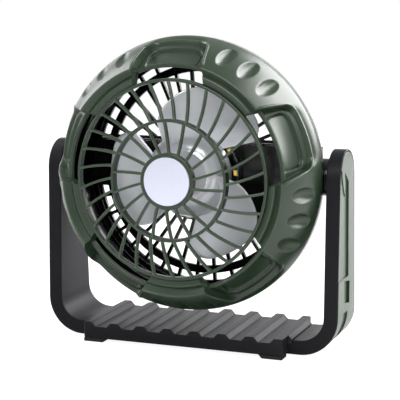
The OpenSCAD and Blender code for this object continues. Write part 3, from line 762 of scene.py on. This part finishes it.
@dataclass
class Bezel(Assembly):
    """The green front ring: five crowned pads with grip dimples and a sunk bay between each two.

    Its skin is a height field over the straight line from the rim to a pad's crown: q runs along
    that line and h stands out from it. A run is kept as (q, height there, slope), and a ridge or
    groove as (height, place, width).
    """

    rim: Point = (101.5, 22.0)
    along: Point = (-0.4257, 0.9059)
    out: Point = (0.9059, 0.4257)
    pads: int = 5
    turn_deg: float = 2.0
    chord: float = 40.4
    bulge: float = 2.5
    roll: Place = (3.6, 9.65, 12.0)     # height, the place where it comes down, and its end
    wall_half: float = 23.0
    wall_front: float = 35.0
    wall_slope: float = 0.15
    wall_blend: float = 0.65
    wall_corner: float = 7.5
    wall_groove: Place = (0.7, 0.25, 0.35)
    bead: Place = (0.6, 1.4, 0.7)
    bay_start: float = 9.3
    ledges: tuple[Place, Place] = ((8.78, -1.73, -0.2146), (14.93, -3.05, -0.179))
    floor: Place = (13.19, -4.53, -0.0719)
    floor_hollow: Place = (1.1, 22.57, 9.385)
    floor_rise: Point = (31.4, 2.1)
    floor_half: float = 20.3
    floor_start: float = 14.2
    floor_corner: float = 6.0
    floor_blend: float = 0.35
    floor_groove: Place = (0.7, 0.35, 0.5)
    lip_q: float = 33.5
    lip_h: float = -5.16
    dimple_width: float = 11.4
    dimple_length: float = 30.0
    dimple_depth: float = 3.0
    dimple_step_deg: float = 11.3
    dimple_soft: float = 0.07
    fine_rows: Point = (8.2, 17.5)      # rows are closer here, across the bays' steps
    row_steps: Point = (0.36, 0.6)
    crown_rows: int = 9
    near_wall: float = 6.5
    seat_front: float = 50.0
    inner: tuple[Point, ...] = (
        (84.0, 58.95), (83.4, 59.0), (82.5, 58.35), (79.4, 55.3), (78.7, 54.8), (78.25, 55.2),
        (77.7, 56.0), (76.9, 56.4), (76.0, 56.2), (74.8, 55.6), (73.0, 55.45), (72.65, 55.2),
        (72.65, 52.2), (70.9, 52.18), (70.9, 49.8), (76.5, 48.7), (79.8, 48.1))
    lip_inner: tuple[Point, ...] = (
        (82.5, 50.3), (82.3, 50.45), (82.0, 50.5), (81.6, 50.5), (81.3, 50.5), (81.0, 50.5),
        (80.7, 50.45), (80.4, 50.35), (80.15, 50.2), (79.95, 50.0), (79.85, 49.75), (79.8, 49.5),
        (79.8, 49.25), (79.8, 49.0), (79.8, 48.7), (79.8, 48.4), (79.8, 48.1))
    back: tuple[Point, ...] = (
        (79.8, 47.7), (84.6, 40.3), (89.5, 32.8), (94.3, 25.4), (98.8, 19.0), (99.1, 18.0),
        (101.2, 18.0), (101.5, 18.3), (101.5, 20.0))

    def from_chord(self, q: float, h: float) -> Point:
        """Turns (q, h) into (radius, front)."""
        return (self.rim[0] + self.along[0] * q + self.out[0] * h,
                self.rim[1] + self.along[1] * q + self.out[1] * h)

    def pad_height(self, q: float) -> float:
        """Gives the height of a pad's crowned face without its dimples."""
        half = self.chord / 2
        return self.bulge * (1 - ((q - half) / half) ** 2)

    def rim_height(self, q: float) -> float:
        """Gives the height of the rolled rim outside a bay."""
        x = q / self.roll[1] if q < self.roll[2] else 1.0
        return self.roll[0] * x * (1 - x) - x

    def half_at(self, front: float) -> float:
        """Gives the half width of a bay at a distance in front of the tilt axis."""
        return self.wall_half + self.wall_slope * (front - self.wall_front)

    def dimple_cut(self, q: float, across: float) -> float:
        """Gives the height at which a dimple's spindle cuts into a pad.

        Args:
            q: Place along the pad's face.
            across: Distance from the dimple's middle line.

        Returns:
            The height of the cut, far above the pad outside the dimple.
        """
        far = 99.0
        depth = self.dimple_depth
        girth = (self.dimple_width ** 2 / 4 + depth ** 2) / (2 * depth)
        bow = (self.dimple_length ** 2 / 4 + depth ** 2) / (2 * depth)
        along = q - self.chord / 2
        if abs(along) >= bow:
            return far
        reach = girth - bow + math.sqrt(bow * bow - along * along)
        room = reach * reach - across * across
        return self.bulge + girth - depth - math.sqrt(room) if reach > 0 and room > 0 else far

    @staticmethod
    def into_bay(t: float, q: float, half: float, start: float, corner: float) -> float:
        """Gives the distance to a bay's rounded outline, below zero inside it.

        Args:
            t: Distance from the bay's middle plane.
            q: Place along the chord.
            half: Half width of the outline.
            start: Place along the chord where the outline starts.
            corner: Radius of its corners.

        Returns:
            The signed distance in mm.
        """
        x, y = t - (half - corner), start + corner - q
        return math.hypot(max(x, 0), max(y, 0)) + min(max(x, y), 0) - corner

    def bay_height(self, t: float, q: float) -> float:
        """Gives the height inside a bay: the ledge, and the floor a step below it.

        Args:
            t: Distance from the bay's middle plane.
            q: Place along the chord.

        Returns:
            The height in mm.
        """
        start, level, slope = self.ledges[0] if q < self.ledges[1][0] else self.ledges[1]
        ledge = level + slope * (q - start)
        start, level, slope = self.floor
        depth, middle, reach = self.floor_hollow
        floor = level + slope * (q - start) - depth * max(0.0, 1 - ((q - middle) / reach) ** 2)
        floor += smooth((q - self.floor_rise[0]) / self.floor_rise[1])
        edge = self.into_bay(t, q, self.floor_half, self.floor_start, self.floor_corner)
        inside = 1 - step(edge, self.floor_blend)
        depth, place, width = self.floor_groove
        groove = depth * bump(edge + self.floor_blend + place, width) * smooth((self.lip_q - q) / 3)
        return mix(max(ledge, floor), floor, inside) - groove

    def skin(self, t: float, q: float, half: float, phi: float) -> tuple[float, float]:
        """Gives the skin's height and how far the place belongs to a pad.

        Args:
            t: Distance from the nearest bay's middle plane.
            q: Place along the chord.
            half: Half width of the bay at this height.
            phi: Angle from the middle of the nearest pad, in radians.

        Returns:
            The height, and a share from 0 in the bay to 1 on the pad.
        """
        pad = self.pad_height(q)
        radius = self.from_chord(q, pad)[0]
        for k in (-1, 0, 1):
            across = radius * math.sin(phi + math.radians(k * self.dimple_step_deg))
            cut = self.dimple_cut(q, across)
            if cut < pad + 1:
                pad = 0.5 * (pad + cut - math.sqrt((pad - cut) ** 2 + self.dimple_soft ** 2))
        side = smooth((t - (half - self.wall_corner)) / (self.wall_corner + 1))
        outer = mix(self.rim_height(q), pad, side)
        edge = self.into_bay(t, q, half, self.bay_start, self.wall_corner)
        height, place, width = self.bead
        outer += height * bump(edge - place, width) * smooth((self.chord - q) / 4) * smooth(q / 6)
        share = step(edge, self.wall_blend)
        depth, place, width = self.wall_groove
        groove = depth * bump(edge + self.wall_blend + place, width)
        return mix(self.bay_height(t, q) - groove, outer, share), share

    def places(self) -> list[float]:
        """Lists the rows' places along the chord, up to the bay's lip and on to the crown.

        Returns:
            Values of q from the rim inwards.
        """
        places, q = [], 0.0
        while q < self.lip_q - 0.2:
            places.append(q)
            q += self.row_steps[0 if self.fine_rows[0] < q < self.fine_rows[1] else 1]
        n = self.crown_rows
        return places + [self.lip_q] + [mix(self.lip_q, self.chord, (i + 1) / n) for i in range(n)]

    def spots(self) -> list[tuple[str, float]]:
        """Lists the columns from a bay's middle to the pad's middle.

        Returns:
            Pairs of a zone and a value: "bay" with a share of the way to the wall, "wall" with a
            distance from it in mm, and "pad" with a share of the way on to the pad's middle.
        """
        bay = [("bay", i / 11) for i in range(11)]
        near = [("wall", -self.near_wall + 0.42 * i) for i in range(14)]
        wall = [("wall", -self.wall_blend + 0.1625 * i) for i in range(9)]
        pad = [("pad", (i / 50) ** 1.1) for i in range(1, 51)]
        return bay + near + wall + pad

    def across(self, spot: tuple[str, float], half: float, radius: float) -> tuple[float, float]:
        """Turns a column's spot into a distance and an angle from the bay's middle.

        Args:
            spot: A zone and its value.
            half: Half width of the bay.
            radius: Radius of the point.

        Returns:
            The distance in mm and the angle in radians.
        """
        zone, value = spot
        if zone == "pad":
            edge = math.asin((half + self.wall_blend) / radius)
            angle = mix(edge, math.pi / self.pads, value)
            return radius * math.sin(angle), angle
        t = (half - self.near_wall) * value if zone == "bay" else half + value
        return t, math.asin(t / radius)

    def profile(self, spot: tuple[str, float]) -> list[Place]:
        """Makes one column as (radius, front, angle from the bay's middle).

        Args:
            spot: The column's zone and value.

        Returns:
            The points from the rim, over the crown or lip, and back inside to the rim.
        """
        points = []
        for q in self.places():
            r, f = self.from_chord(q, self.pad_height(q) if q > self.roll[1] else 0)
            half = self.half_at(f)
            t, angle = self.across(spot, half, r)
            height, share = self.skin(t, q, half, angle - math.pi / self.pads)
            if q > self.lip_q:
                q, height = mix(self.lip_q, q, share), mix(self.lip_h, height, share)
            r, f = self.from_chord(q, height)
            if spot[0] != "pad":
                angle = math.asin(min(0.99, t / r))
            points.append((r, f, angle))
        share = {"bay": 0.0, "pad": 1.0}.get(spot[0])
        if share is None:
            share = step(spot[1], self.wall_blend)
        for (pad_r, pad_f), (bay_r, bay_f) in zip(self.inner, self.lip_inner):
            r = mix(bay_r, pad_r, share)
            angle = self.across(spot, self.half_at(pad_f), r)[1]
            points.append((r, mix(bay_f, pad_f, share), angle))
        seat = self.half_at(self.seat_front)
        return points + [(r, f, self.across(spot, seat, r)[1]) for r, f in self.back]

    def build(self) -> None:
        """Bends the columns round the head, mirrored about each bay and pad."""
        half = [self.profile(spot) for spot in self.spots()]
        period = [(column, -1) for column in half[-2:0:-1]] + [(column, 1) for column in half]
        first = math.radians(90 + self.turn_deg)
        verts = [on_head(r, first + math.tau * i / self.pads + sign * angle, f)
                 for i in range(self.pads) for column, sign in period for r, f, angle in column]
        faces = grid_faces(len(half[0]), self.pads * len(period))
        self.shop.give(mesh_object("head_bezel", verts, faces, 50), Body.HEAD, "front_bezel")


@dataclass(frozen=True)
class SpokeRow:
    """A ring of spokes, with foot and tip as (radius, front)."""

    name: str
    count: int
    phase_deg: float
    foot: Point
    tip: Point
    swirl_deg: float    # how far a spoke turns on its way out
    sag: float          # how far it bows to the right of its way


@dataclass
class Guard(Assembly):
    """The green front guard: three rings, the spokes between them and the badge in its seat."""

    spoke_width: float = 1.9
    spoke_depth: float = 3.2
    spoke_round: float = 0.5
    rings: tuple[tuple[str, tuple[Place, ...]], ...] = (
        ("rim", ((70.2, 57.2, 0.9), (72.5, 57.2, 0.9), (72.5, 52.25, 0.2), (70.2, 52.25, 0.4))),
        ("middle", ((42.0, 62.2, 0.8), (44.0, 62.2, 0.8), (44.0, 54.8, 0.6), (42.0, 54.8, 0.6))),
        ("hub", ((17.5, 63.6, 0.5), (20.3, 63.6, 0.9), (20.3, 58.6, 0.5), (14.3, 58.6, 0.3),
                 (14.3, 60.2, 0), (0.0, 60.2, 0), (0.0, 62.0, 0), (17.5, 62.0, 0))),
    )
    rows: tuple[SpokeRow, ...] = (
        SpokeRow("outer_spokes", 30, -0.5, (43.4, 61.8), (70.8, 56.9), 8.0, 0.95),
        SpokeRow("inner_spokes", 18, 6.8, (19.7, 63.0), (42.6, 61.8), 6.8, 0.43),
    )
    badge: tuple[Place, ...] = (
        (0.0, 62.05, 0), (17.3, 62.05, 0.1), (17.3, 64.05, 0.35), (0.0, 64.2, 0))

    def spokes(self, row: SpokeRow) -> Piece:
        """Makes a ring of bowed spokes with Geometry Nodes.

        Args:
            row: What the ring is like.

        Returns:
            The spokes as one mesh object.
        """
        swirl = math.radians(row.swirl_deg)
        start = Vector((row.foot[0], 0, row.foot[1] - self.spoke_depth / 2))
        end = Vector((row.tip[0] * math.cos(swirl), row.tip[0] * math.sin(swirl),
                      row.tip[1] - self.spoke_depth / 2))
        run = end - start
        right = Vector((run.y, -run.x, 0)).normalized()
        bow = (start + end) / 2 + right * 2 * row.sag
        pattern = Pattern(row.name, {
            "Count": row.count, "Phase": math.radians(row.phase_deg), "Foot": tuple(start * MM),
            "Bow": tuple(bow * MM), "Tip": tuple(end * MM), "Width": self.spoke_width * MM,
            "Depth": self.spoke_depth * MM, "Rounding": self.spoke_round * MM,
            "Material": self.shop.materials["green_abs"]})
        tree, given = pattern.tree, pattern.given
        path = add(tree, "GeometryNodeCurveQuadraticBezier",
                   {"Resolution": 14, "Start": given["Foot"], "Middle": given["Bow"],
                    "End": given["Tip"]})
        level = add(tree, "GeometryNodeSetCurveNormal", {"Curve": path.outputs[0]}, mode="Z_UP")
        section = add(tree, "GeometryNodeCurvePrimitiveQuadrilateral",
                      {"Width": given["Width"], "Height": given["Depth"]}, mode="RECTANGLE")
        soft = add(tree, "GeometryNodeFilletCurve",
                   {"Curve": section.outputs[0], "Count": 2, "Radius": given["Rounding"],
                    "Limit Radius": True}, mode="POLY")
        spoke = add(tree, "GeometryNodeCurveToMesh",
                    {"Curve": level.outputs[0], "Profile Curve": soft.outputs[0],
                     "Fill Caps": True})
        return pattern.run(spoke.outputs[0], *pattern.round_axis())

    def build(self) -> None:
        """Turns the rings, adds the spokes and turns the badge."""
        parts = [lathe(name, rounded(corners)) for name, corners in self.rings]
        parts += [self.spokes(row) for row in self.rows]
        self.shop.give(joined("head_guard", parts), Body.HEAD, "front_grille")
        badge = lathe("guard_badge", rounded(self.badge), 128)
        self.shop.give(badge, Body.HEAD, "badge_disc")


@dataclass(frozen=True)
class BladeEdge:
    """A blade's edge: straight from the root to a knee, then an arc to the tip."""

    root: Point
    knee: Point
    tip: Point
    sag: float      # how far the arc bulges to the left
    split: float    # the share of the edge that is straight

    def at(self, v: float) -> Point:
        """Gives a point of the edge.

        Args:
            v: Share of the way from the root to the tip.

        Returns:
            The point in mm, across and up.
        """
        if v < self.split:
            return tuple(mix(a, b, v / self.split) for a, b in zip(self.root, self.knee))
        return arc(self.knee, self.tip, self.sag, (v - self.split) / (1 - self.split))


@dataclass
class Impeller(Assembly):
    """The silver impeller: a domed hub and three broad curved blades."""

    blades: int = 3
    thickness: float = 1.8
    camber_r: float = 110.0
    camber_x: float = 45.8
    camber_front: float = 122.7
    tip_r: float = 65.5
    lead: BladeEdge = BladeEdge((-14, 18), (-19.3, 38), (11.4, 64.5), 8.0, 0.28)
    trail: BladeEdge = BladeEdge((20, 18), (48.1, 24.5), (46.5, 46.1), -4.3, 0.5)
    dome: tuple[Point, Point] = ((32.0, 19.0), (19.6, 33.2))
    dome_sag: float = -2.4
    nose: tuple[Point, ...] = ((0.0, 33.5), (18.6, 33.5), (19.2, 33.4))
    inside: tuple[Point, ...] = (
        (32.0, 15.7), (31.8, 15.5), (30.4, 15.5), (30.2, 15.7), (30.2, 18.5), (18.0, 31.7),
        (4.5, 31.7), (4.5, 15.5), (1.6, 15.5), (1.6, 30.5), (0.0, 30.5))

    def tip(self, u: float) -> Point:
        """Gives a point of the tip circle, from the leading to the trailing edge."""
        turn = mix(*(math.atan2(y, x) for x, y in (self.lead.tip, self.trail.tip)), u)
        return self.tip_r * math.cos(turn), self.tip_r * math.sin(turn)

    def spot(self, u: float, v: float) -> Point:
        """Fills the blade's outline between its four edges.

        Args:
            u: Share of the way from the leading to the trailing edge.
            v: Share of the way from the root to the tip.

        Returns:
            The point in mm, across and up.
        """
        low = [mix(a, b, u) for a, b in zip(self.lead.root, self.trail.root)]
        high, left, right = self.tip(u), self.lead.at(v), self.trail.at(v)
        first, last = self.tip(0), self.tip(1)
        flat = [mix(low[k], mix(first[k], last[k], u), v) for k in (0, 1)]
        return tuple(mix(left[k], right[k], u) + mix(low[k], high[k], v) - flat[k] for k in (0, 1))

    def blade(self, angle: float) -> Piece:
        """Makes one blade with rounded rims.

        Args:
            angle: How far it is turned from upright, in radians.

        Returns:
            The blade's mesh object.
        """
        rims = {0.0: 0.0, 0.004: 0.55, 0.013: 0.85, 0.03: 1.0}    # place: share of the thickness
        inner = [0.03 + 0.94 * i / 26 for i in range(1, 26)]
        steps = list(rims) + inner + [1 - s for s in reversed(rims)]
        n = len(steps)
        verts, faces = [], []
        for side in (1, -1):
            for v in steps:
                for u in steps:
                    x, z = self.spot(u, v)
                    edge = min(rims.get(round(min(s, 1 - s), 6), 1.0) for s in (u, v))
                    bow = math.sqrt(self.camber_r ** 2 - (x - self.camber_x) ** 2)
                    front = self.camber_front - bow + side * edge * self.thickness / 2
                    verts.append(on_head(math.hypot(x, z), math.atan2(z, x) - angle, front))
        for side in (0, 1):
            for j in range(n - 1):
                for i in range(n - 1):
                    a = side * n * n + j * n + i
                    if i not in (0, n - 2) or j not in (0, n - 2):
                        faces.append([a, a + 1, a + n + 1, a + n])
                    elif (i == 0) == (j == 0):    # corners are split so that both sides stay apart
                        faces += [[a, a + 1, a + n + 1], [a, a + n + 1, a + n]]
                    else:
                        faces += [[a, a + 1, a + n], [a + 1, a + n + 1, a + n]]
        return mesh_object("blade", verts, faces, 70)

    def build(self) -> None:
        """Turns the hub and sets the blades round it."""
        dome = [arc(*self.dome, self.dome_sag, i / 8) for i in range(8, -1, -1)]
        parts = [lathe("hub_shell", [*self.nose, *dome, *self.inside])]
        parts += [self.blade(math.tau * i / self.blades) for i in range(self.blades)]
        self.shop.give(joined("fan_impeller", parts), Body.ROTOR, "impeller")


@dataclass
class LightRing(Assembly):
    """The ring of light chips behind the impeller, under its clear cover."""

    count: int = 12
    ring_r: float = 32.0
    board_front: float = 6.0
    length: float = 4.4
    width: float = 3.2
    height: float = 1.2
    phase_deg: float = 1.5
    frame_width: float = 0.45
    window: Point = (0.15, -0.25)    # how far the window's wall slopes in and down
    cover: tuple[Place, ...] = (
        (22.2, 4.5, 0.1), (23.4, 4.5, 0.1), (23.4, 7.5, 0.3), (34.8, 7.5, 0.3), (34.8, 4.5, 0.1),
        (36.0, 4.5, 0.1), (36.0, 8.7, 0.8), (22.2, 8.7, 0.6))

    def chip(self) -> Piece:
        """Makes one chip: a white body and the amber window let into it.

        Returns:
            The chip, lying at the origin with its light to +Z.
        """
        work = bmesh.new()
        bmesh.ops.create_cube(work, size=1.0)
        bmesh.ops.scale(work, verts=work.verts,
                        vec=(self.width * MM, self.length * MM, self.height * MM))
        bmesh.ops.translate(work, verts=work.verts, vec=(0, 0, self.height / 2 * MM))
        top = max(work.faces, key=lambda face: face.calc_center_median().z)
        bmesh.ops.inset_region(work, faces=[top], thickness=self.frame_width * MM)
        bmesh.ops.inset_region(work, faces=[top], thickness=self.window[0] * MM,
                               depth=self.window[1] * MM)
        top.material_index = 1
        outside = [e for e in work.edges if e.calc_length() > 2 * MM and e.calc_face_angle(0) > 1]
        bmesh.ops.bevel(work, geom=outside, offset=0.12 * MM, segments=1, affect="EDGES")
        made = baked(work, "chip")
        made.data.materials.append(self.shop.chip_body)
        made.data.materials.append(self.shop.materials["light_chip"])
        return made

    def build(self) -> None:
        """Sets the chips on their ring with Geometry Nodes and turns the cover."""
        chip = self.chip()
        pattern = Pattern("light_ring_chips", {
            "Count": self.count, "Phase": math.radians(self.phase_deg), "Chip": chip,
            "Place": (self.ring_r * MM, 0.0, self.board_front * MM)})
        set_out = add(pattern.tree, "GeometryNodeTransform",
                      {"Geometry": pattern.shape("Chip"), "Translation": pattern.given["Place"]})
        chips = pattern.run(set_out.outputs[0], *pattern.round_axis(), dressed=True)
        bpy.data.objects.remove(chip)
        self.shop.give(chips, Body.HEAD, "light_chips")
        self.shop.give(lathe("light_ring_lens", rounded(self.cover)), Body.HEAD, "light_lens")


# ---- Screws and mouldings of head and stand ----


@dataclass
class Screws(Assembly):
    """Pan-head screws with a cross recess, set where the CAD frame has its plain ones."""

    sets: tuple[tuple[str, str, Body, Place], ...] = (
        ("base_screws", "stand_screws", Body.STAND, (0, 0, -1)),
        ("bezel_screws", "head_bezel_screws", Body.HEAD, (0, 1, 0)),
        ("rear_grille_screws", "head_grille_screws", Body.HEAD, (0, 1, 0)),
        ("core_cover_screws", "core_lid_screws", Body.HEAD, (0, 1, 0)),
        ("motor_screws", "core_motor_screws", Body.HEAD, (0, -1, 0)),
    )
    around: int = 24
    pitch: float = 1.0 * MM
    core: float = 0.78               # the thread's root as a share of its radius
    seed: int = 7
    pan: tuple[Point, ...] = ((0.66, 0), (0.86, 0.12), (0.97, 0.34), (1, 0.6), (1, 1))
    cross: Point = (0.5, 0.12)       # the recess's arm and half width by the head's radius
    recess: Point = (0.85, 0.55)     # how it narrows, and its depth by the head's height

    @staticmethod
    def islands(node: str) -> list[list[Vector]]:
        """Splits a CAD node into its separate solids.

        Args:
            node: The CAD node's name.

        Returns:
            The places of each solid's verts.
        """
        work = cad_copy(node)
        seen, found = set(), []
        for first in work.verts:
            front, solid = [first], []
            while front:
                vert = front.pop()
                if vert not in seen:
                    seen.add(vert)
                    solid.append(vert.co.copy())
                    front += [edge.other_vert(vert) for edge in vert.link_edges]
            if solid:
                found.append(solid)
        work.free()
        return found

    @staticmethod
    def sleeve(work: bmesh.types.BMesh, loops: Sequence[Sequence[bmesh.types.BMVert]]) -> None:
        """Closes the walls between loops of verts and the floor in the last loop.

        Args:
            work: The bmesh that holds the verts.
            loops: Loops with the same number of verts.
        """
        for upper, lower in zip(loops, loops[1:]):
            for (a, b), (c, d) in zip(pairs(upper), pairs(lower)):
                work.faces.new((a, c, d, b))
        work.faces.new(loops[-1])

    def template(self, head_r: float, head_h: float, shank_r: float, length: float,
                 heading: Vector) -> Piece:
        """Makes one screw with the top of its head at the origin.

        Args:
            head_r: Radius of the head in metres.
            head_h: Height of the head.
            shank_r: Radius over the thread.
            length: Length over all.
            heading: Direction that the head faces.

        Returns:
            The screw's mesh object.
        """
        root = self.core * shank_r
        rings = [(r * head_r, -h * head_h) for r, h in self.pan] + [(root, -head_h)]
        for k in range(max(1, int((length - head_h - 1.2 * MM) / self.pitch))):
            z = -head_h - (k + 0.6) * self.pitch
            rings += [(root, z + 0.3 * self.pitch), (shank_r, z), (root, z - 0.3 * self.pitch)]
        rings += [(0.7 * shank_r, -length + 0.5 * MM), (0.3 * shank_r, -length)]
        arm, half = (share * head_r for share in self.cross)
        cross = [(x * math.cos(a) - y * math.sin(a), x * math.sin(a) + y * math.cos(a))
                 for a in (0, math.pi / 2, math.pi, 3 * math.pi / 2)
                 for x, y in ((arm, -half), (arm, half), (half, half))]
        narrow, deep = self.recess
        turns = [math.tau * i / self.around for i in range(self.around)]
        work = bmesh.new()
        outside = [[work.verts.new((r * math.cos(a), r * math.sin(a), z)) for a in turns]
                   for r, z in rings]
        slot = [[work.verts.new((share * x, share * y, z)) for x, y in cross]
                for share, z in ((1, 0), (narrow, -deep * head_h))]
        self.sleeve(work, outside)
        self.sleeve(work, slot)
        rims = [work.edges.get(pair) for loop in (outside[0], slot[0]) for pair in pairs(loop)]
        bmesh.ops.triangle_fill(work, edges=rims, use_beauty=True, normal=(0, 0, 1))
        bmesh.ops.recalc_face_normals(work, faces=work.faces)
        bmesh.ops.rotate(work, verts=work.verts,
                         matrix=Vector((0, 0, 1)).rotation_difference(heading).to_matrix())
        return baked(work, "screw")

    @staticmethod
    def measure(solid: Sequence[Vector], heading: Vector) -> tuple[Vector, Place, float]:
        """Measures a plain screw of the CAD frame.

        Args:
            solid: The places of its verts.
            heading: Direction that its head faces.

        Returns:
            The top's middle, the head's radius and height with the shank's radius, and the length.
        """
        high = max(co.dot(heading) for co in solid)
        ends = [Vector(pick(co[k] for co in solid) for k in range(3)) for pick in (min, max)]
        middle = (ends[0] + ends[1]) / 2
        down = [high - co.dot(heading) for co in solid]
        off = [(co - middle - heading * (co - middle).dot(heading)).length for co in solid]
        head_r = max(off)
        head_h = max(d for d, r in zip(down, off) if r > 0.95 * head_r)
        shank_r = max(r for r in off if r < 0.8 * head_r)
        return middle + heading * (high - middle.dot(heading)), (head_r, head_h, shank_r), max(down)

    def build(self) -> None:
        """Sets the screws with Geometry Nodes, each with its recess turned at random."""
        for node, name, body, direction in self.sets:
            heading = Vector(direction)
            found = [self.measure(solid, heading) for solid in self.islands(node)]
            places = linked("places", bpy.data.meshes.new("places"))
            places.data.from_pydata([top for top, _, _ in found], [], [])
            screw = self.template(*found[-1][1], found[-1][2], heading)
            pattern = Pattern(name, {"Places": places, "Screw": screw, "Axis": tuple(heading),
                                     "Seed": self.seed,
                                     "Material": self.shop.materials["screw_steel"]})
            tree, given = pattern.tree, pattern.given
            points = add(tree, "GeometryNodeMeshToPoints", {"Mesh": pattern.shape("Places")})
            angle = add(tree, "FunctionNodeRandomValue", {"Seed": given["Seed"]}, data_type="FLOAT")
            full = calc(tree, "MULTIPLY", angle.outputs[1], math.tau)
            turn = add(tree, "ShaderNodeVectorMath", {0: given["Axis"], "Scale": full},
                       operation="SCALE")
            made = pattern.run(pattern.shape("Screw"), points.outputs[0], turn.outputs[0],
                               flat=False)
            bpy.data.objects.remove(places)
            bpy.data.objects.remove(screw)
            self.shop.give(made, body, node)


@dataclass
class Mouldings(Assembly):
    """The housings and the stand, whose CAD shapes get the soft edges of moulded parts."""

    # node, name, body, width of the rounding, shortest edge that gets it
    edges: tuple[tuple[str, str, Body, float, float], ...] = (
        ("stand_frame", "stand_legs", Body.STAND, 0.8, 0.9),
        ("base_tread", "stand_tread", Body.STAND, 0.9, 0.9),
        ("side_panel_left", "stand_panel_left", Body.STAND, 0.35, 0.9),
        ("side_panel_right", "stand_panel_right", Body.STAND, 0.35, 0.9),
        ("rubber_feet", "stand_feet", Body.STAND, 0.5, 0.9),
        ("rear_shell", "head_rear_shell", Body.HEAD, 0.5, 0.9),
        ("rear_grille", "head_rear_grille", Body.HEAD, 0.4, 0.9),
        ("core_housing", "core_shell", Body.HEAD, 0.5, 0.9),
        ("core_cover", "core_lid", Body.HEAD, 0.5, 0.9),
        ("fan_button", "fan_button_cap", Body.FAN_BUTTON, 0.4, 0.25),
        ("light_button", "light_button_cap", Body.LIGHT_BUTTON, 0.4, 0.25),
    )

    def build(self) -> None:
        """Softens each housing."""
        for node, name, body, width, least in self.edges:
            self.shop.give(softened(node, name, width, least), body, node)


# ---- Camera, light and floor ----


@dataclass(frozen=True)
class Softbox:
    """A rectangular lamp, in metres and watts."""

    name: str
    place: Place
    aim: Place
    size: Point
    watts: float

    def build(self) -> None:
        """Hangs the lamp, out of the camera's own sight."""
        data = bpy.data.lights.new(self.name, "AREA")
        data.shape, data.energy = "RECTANGLE", self.watts
        data.size, data.size_y = self.size
        lamp = linked(self.name, data)
        lamp.location = self.place
        away = Vector(self.place) - Vector(self.aim)
        lamp.rotation_euler = away.to_track_quat("Z", "Y").to_euler()
        lamp.visible_camera = False


@dataclass
class Studio:
    """Camera at the photograph's place, pale floor and plain soft light."""

    azimuth_deg: float = 20.68
    height_deg: float = 8.8
    distance: float = 983.5
    target: Place = (3.17, 8.2, 107.7)
    lens: float = 118.25
    sensor: float = 36.0
    floor_size: float = 3.0
    floor_steps: int = 24
    lamps: tuple[Softbox, ...] = (
        Softbox("key_above_right", (0.8, 0.2, 1.05), (0, 0, 0.13), (0.7, 0.6), 6.5),
        Softbox("rim_right", (0.95, 1.0, 0.95), (0, 0, 0.13), (1.5, 1.3), 56.0),
        Softbox("backdrop", (-0.75, 1.9, 0.5), (0, 0, 0.1), (2.4, 0.8), 7.0),
        Softbox("rim_left", (-1.15, 0.15, 0.8), (0, 0, 0.13), (1.0, 1.0), 17.0),
        Softbox("front_fill", (0.15, -1.15, 1.0), (0, 0, 0.12), (0.8, 0.6), 13.5),
    )

    def camera(self) -> None:
        """Places the camera and makes it the scene's own."""
        turn, rise = math.radians(self.azimuth_deg), math.radians(self.height_deg)
        away = Vector((math.sin(turn) * math.cos(rise), -math.cos(turn) * math.cos(rise),
                       math.sin(rise)))
        data = bpy.data.cameras.new("camera")
        data.lens, data.sensor_width = self.lens, self.sensor
        data.clip_start, data.clip_end = 0.05, 20.0
        camera = linked("camera", data)
        camera.location = (Vector(self.target) + away * self.distance) * MM
        camera.rotation_euler = away.to_track_quat("Z", "Y").to_euler()
        bpy.context.scene.camera = camera

    @staticmethod
    def by_ray(tree: Tree, path: bpy.types.Node, other: Socket, seen: Socket, output: str) -> None:
        """Ends a tree with one look for what the eye meets and one for all other rays.

        Args:
            tree: The node tree.
            path: Its Light Path node.
            other: Shader for all other rays.
            seen: Shader for rays from the camera, straight or through a clear piece.
            output: Type name of the output node.
        """
        direct = calc(tree, "MAXIMUM", path.outputs["Is Camera Ray"],
                      path.outputs["Is Transmission Ray"])
        both = add(tree, "ShaderNodeMixShader", {0: direct, 1: other, 2: seen})
        add(tree, output, {"Surface": both.outputs[0]})

    def world(self) -> None:
        """Makes the world plain white to the eye, softer in reflections and softest as a light."""
        world = bpy.data.worlds.new("world")
        bpy.context.scene.world = world
        tree = emptied(world)
        path = add(tree, "ShaderNodeLightPath")
        power = calc(tree, "MULTIPLY_ADD", path.outputs["Is Glossy Ray"], 0.45, 0.2)
        soft = add(tree, "ShaderNodeBackground", {"Color": linear("#f4f5f6"), "Strength": power})
        white = add(tree, "ShaderNodeBackground", {"Color": (1, 1, 1, 1), "Strength": 1.0})
        self.by_ray(tree, path, soft.outputs[0], white.outputs[0], "ShaderNodeOutputWorld")

    def floor(self) -> None:
        """Lays a white floor that keeps the fan's soft shadow."""
        work = bmesh.new()
        bmesh.ops.create_grid(work, x_segments=self.floor_steps, y_segments=self.floor_steps,
                              size=self.floor_size / 2)
        floor = baked(work, "floor")
        made = bpy.data.materials.new("floor_white")
        floor.data.materials.append(made)
        tree = emptied(made)
        plain = add(tree, "ShaderNodeBsdfDiffuse", {"Color": linear("#d8d8d8")})
        lit = add(tree, "ShaderNodeBsdfDiffuse", {"Color": linear("#8c8c8c")})
        glow = add(tree, "ShaderNodeEmission", {"Color": (1, 1, 1, 1), "Strength": 0.93})
        shown = add(tree, "ShaderNodeAddShader", {0: lit.outputs[0], 1: glow.outputs[0]})
        self.by_ray(tree, add(tree, "ShaderNodeLightPath"), plain.outputs[0], shown.outputs[0],
                    "ShaderNodeOutputMaterial")

    def build(self) -> None:
        """Sets up the whole studio."""
        self.camera()
        self.world()
        self.floor()
        for lamp in self.lamps:
            lamp.build()
        bpy.context.scene.view_settings.view_transform = "Standard"


def main() -> None:
    """Builds the studio and every piece in order."""
    logging.basicConfig(level=logging.INFO, format="%(message)s")
    Studio().build()
    shop = Workshop()
    for assembly in (Bezel, Guard, Impeller, LightRing, Screws, Mouldings):
        assembly(shop).build()
    shop.dress_carried_over()


if __name__ == "__main__":
    main()
